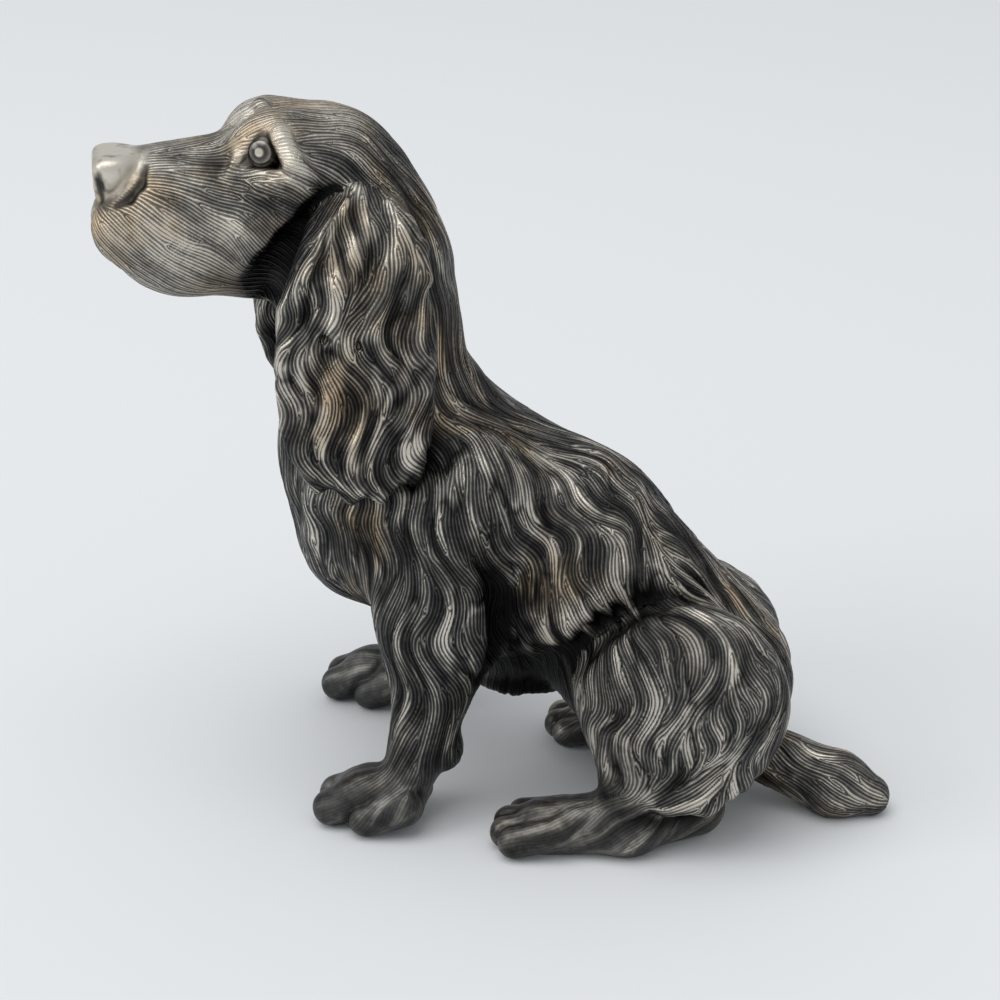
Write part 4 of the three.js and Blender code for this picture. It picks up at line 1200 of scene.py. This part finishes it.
for number, name in enumerate(names, 1):
    onWall, offWall = wallBehind == number, wallAhead == number
    walls = np.concatenate([rims[onWall], rims[offWall][:, ::-1]])
    kept = np.concatenate([rimKept[onWall], rimKept[offWall][:, ::-1]])
    own = skinQuads[skinOf == number]
    used, loops = np.unique(np.concatenate([own.ravel(), walls[kept]]), return_inverse=True)
    sizes = np.concatenate([np.full(len(own), 4), kept.sum(1)])
    values = {key: column[used] for key, column in spread.items()}
    vertices = (points[used] + shift) * 0.001
    piece = meshObject(name + "_fur", vertices, loops, sizes, allNormal[used], values, silver)
    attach(piece, "root")
    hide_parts(name)
    print(name, len(used), "points", (sizes - 2).sum(), "triangles")


eyeSizes = {
    "sides": 48, "aim": (-1.8, 4.5, 1.0), "pupil": 15, "ring": 32, "grooves": (20, 41), "crescentHighlight": 46,
    "raised": 0.08, "ringRaised": 0.03, "cut": 0.04,
    "tone": 0.46, "pupilHighlightTone": 0.48, "ringTone": 0.14, "cutTone": 0.22, "crescentHighlightTone": 0.5,
}


def eyeBead(side):
    # a bead with a raised pupil and a ring round the iris; angles in degrees from the pupil
    s, n = eyeSizes, eyeSizes["sides"]
    mirror = np.array([1, -1 if side == "left" else 1, 1])
    centre = np.array(offHead(headSizes["eye"] * mirror))
    tip = np.array(offHead((np.array(headSizes["eye"]) + s["aim"]) * mirror))
    axis = (tip - centre) / np.linalg.norm(tip - centre)
    level = np.cross(axis, (0, 0, 1))
    level /= np.linalg.norm(level)
    upward = np.cross(level, axis)
    angles = np.concatenate([[0.5], np.arange(1, 48), np.arange(48, 176, 4), [179.5]])
    pupil = fade(angles, s["pupil"], s["pupil"] - 5)
    rim = hump(angles, s["ring"], 3.5)
    groove = hump(angles, s["grooves"][0], 3.0) + hump(angles, s["grooves"][1], 4.0)
    swell = headSizes["eyeRadius"] * (1 + s["raised"] * pupil + s["ringRaised"] * rim - s["cut"] * groove)
    around = np.arange(n) * 2 * np.pi / n
    # a painted highlight: a bright crescent below the iris
    crescentHighlight = hump(angles, s["crescentHighlight"], 5.0)[:, None] * np.clip(-np.sin(around), 0, 1) ** 2
    # the brighter pupil is a painted highlight on the raised pupil
    tone = s["tone"] + s["pupilHighlightTone"] * pupil + s["ringTone"] * rim - s["cutTone"] * groove
    tones = (tone[:, None] + s["crescentHighlightTone"] * crescentHighlight).ravel()
    ways = np.cos(around)[:, None] * level + np.sin(around)[:, None] * upward
    turns = zip(np.radians(angles), swell)
    dots = np.concatenate([centre + r * (math.cos(a) * axis + math.sin(a) * ways) for a, r in turns])
    rows = np.arange(len(angles) - 1)[:, None] * n
    first = (rows + np.arange(n)).ravel()
    second = (rows + (np.arange(n) + 1) % n).ravel()
    sides = np.stack([first, second, second + n, first + n], 1)
    loops = np.concatenate([np.arange(n)[::-1], sides.ravel(), len(dots) - n + np.arange(n)])
    sizes = np.concatenate([[n], np.full(len(sides), 4), [n]])
    normals = unit(dots - centre)
    vertices = (dots + shift) * 0.001
    made = meshObject(side + "_eye_bead", vertices, loops, sizes, normals, {"rub": tones}, bead)
    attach(made, "root")
    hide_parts(side + "_eye")


eyeBead("left")
eyeBead("right")
print("eye beads set")

# hidden fittings keep their CAD shape
for name, node in frame["nodes"].items():
    if name not in names and not name.endswith("_eye"):  # the eyes have beads of their own
        node.data.materials.clear()
        node.data.materials.append(plateInShade if name == "core_plate" else brass)

# floor, light and camera
floorMesh = bpy.data.meshes.new("floor")
floorMesh.from_pydata([(-6, -6, 0), (6, -6, 0), (6, 6, 0), (-6, 6, 0)], [], [(0, 1, 2, 3)])
floor = bpy.data.objects.new("floor", floorMesh)
bpy.context.scene.collection.objects.link(floor)
floorMesh.materials.append(paper)

world = bpy.data.worlds.new("studio")
world.use_nodes = True
sky = world.node_tree.nodes["Background"]
sky.inputs["Color"].default_value = toLinear("#eaecee")
sky.inputs["Strength"].default_value = 0.75
bpy.context.scene.world = world


def softLight(name, place, aim, size, power):
    data = bpy.data.lights.new(name, "AREA")
    data.shape = "RECTANGLE"
    data.size, data.size_y = size
    data.energy = power
    lamp = bpy.data.objects.new(name, data)
    lamp.location = place
    lamp.rotation_mode = "QUATERNION"
    lamp.rotation_quaternion = (Vector(aim) - Vector(place)).to_track_quat("-Z", "Y")
    bpy.context.scene.collection.objects.link(lamp)


softLight("overhead", (-0.5, -0.7, 3.2), (0, 0, 0.08), (2.6, 2.6), 42)
softLight("front", (-2.6, -1.6, 2.0), (0, 0, 0.1), (1.6, 1.6), 26)

view = {"lens": 77.4, "at": (104.6, -538.0, 328.0), "aim": (0, 0, 84)}  # mm
camera = bpy.data.objects.new("camera", bpy.data.cameras.new("camera"))
camera.data.sensor_width = 36
camera.data.lens = view["lens"]
aim = Vector(view["aim"] + shift) * 0.001
camera.location = Vector(view["at"] + shift) * 0.001
camera.rotation_mode = "QUATERNION"
camera.rotation_quaternion = (aim - camera.location).to_track_quat("-Z", "Y")
bpy.context.scene.collection.objects.link(camera)
bpy.context.scene.camera = camera
bpy.context.scene.view_settings.view_transform = "Standard"
print("floor, light and camera set")
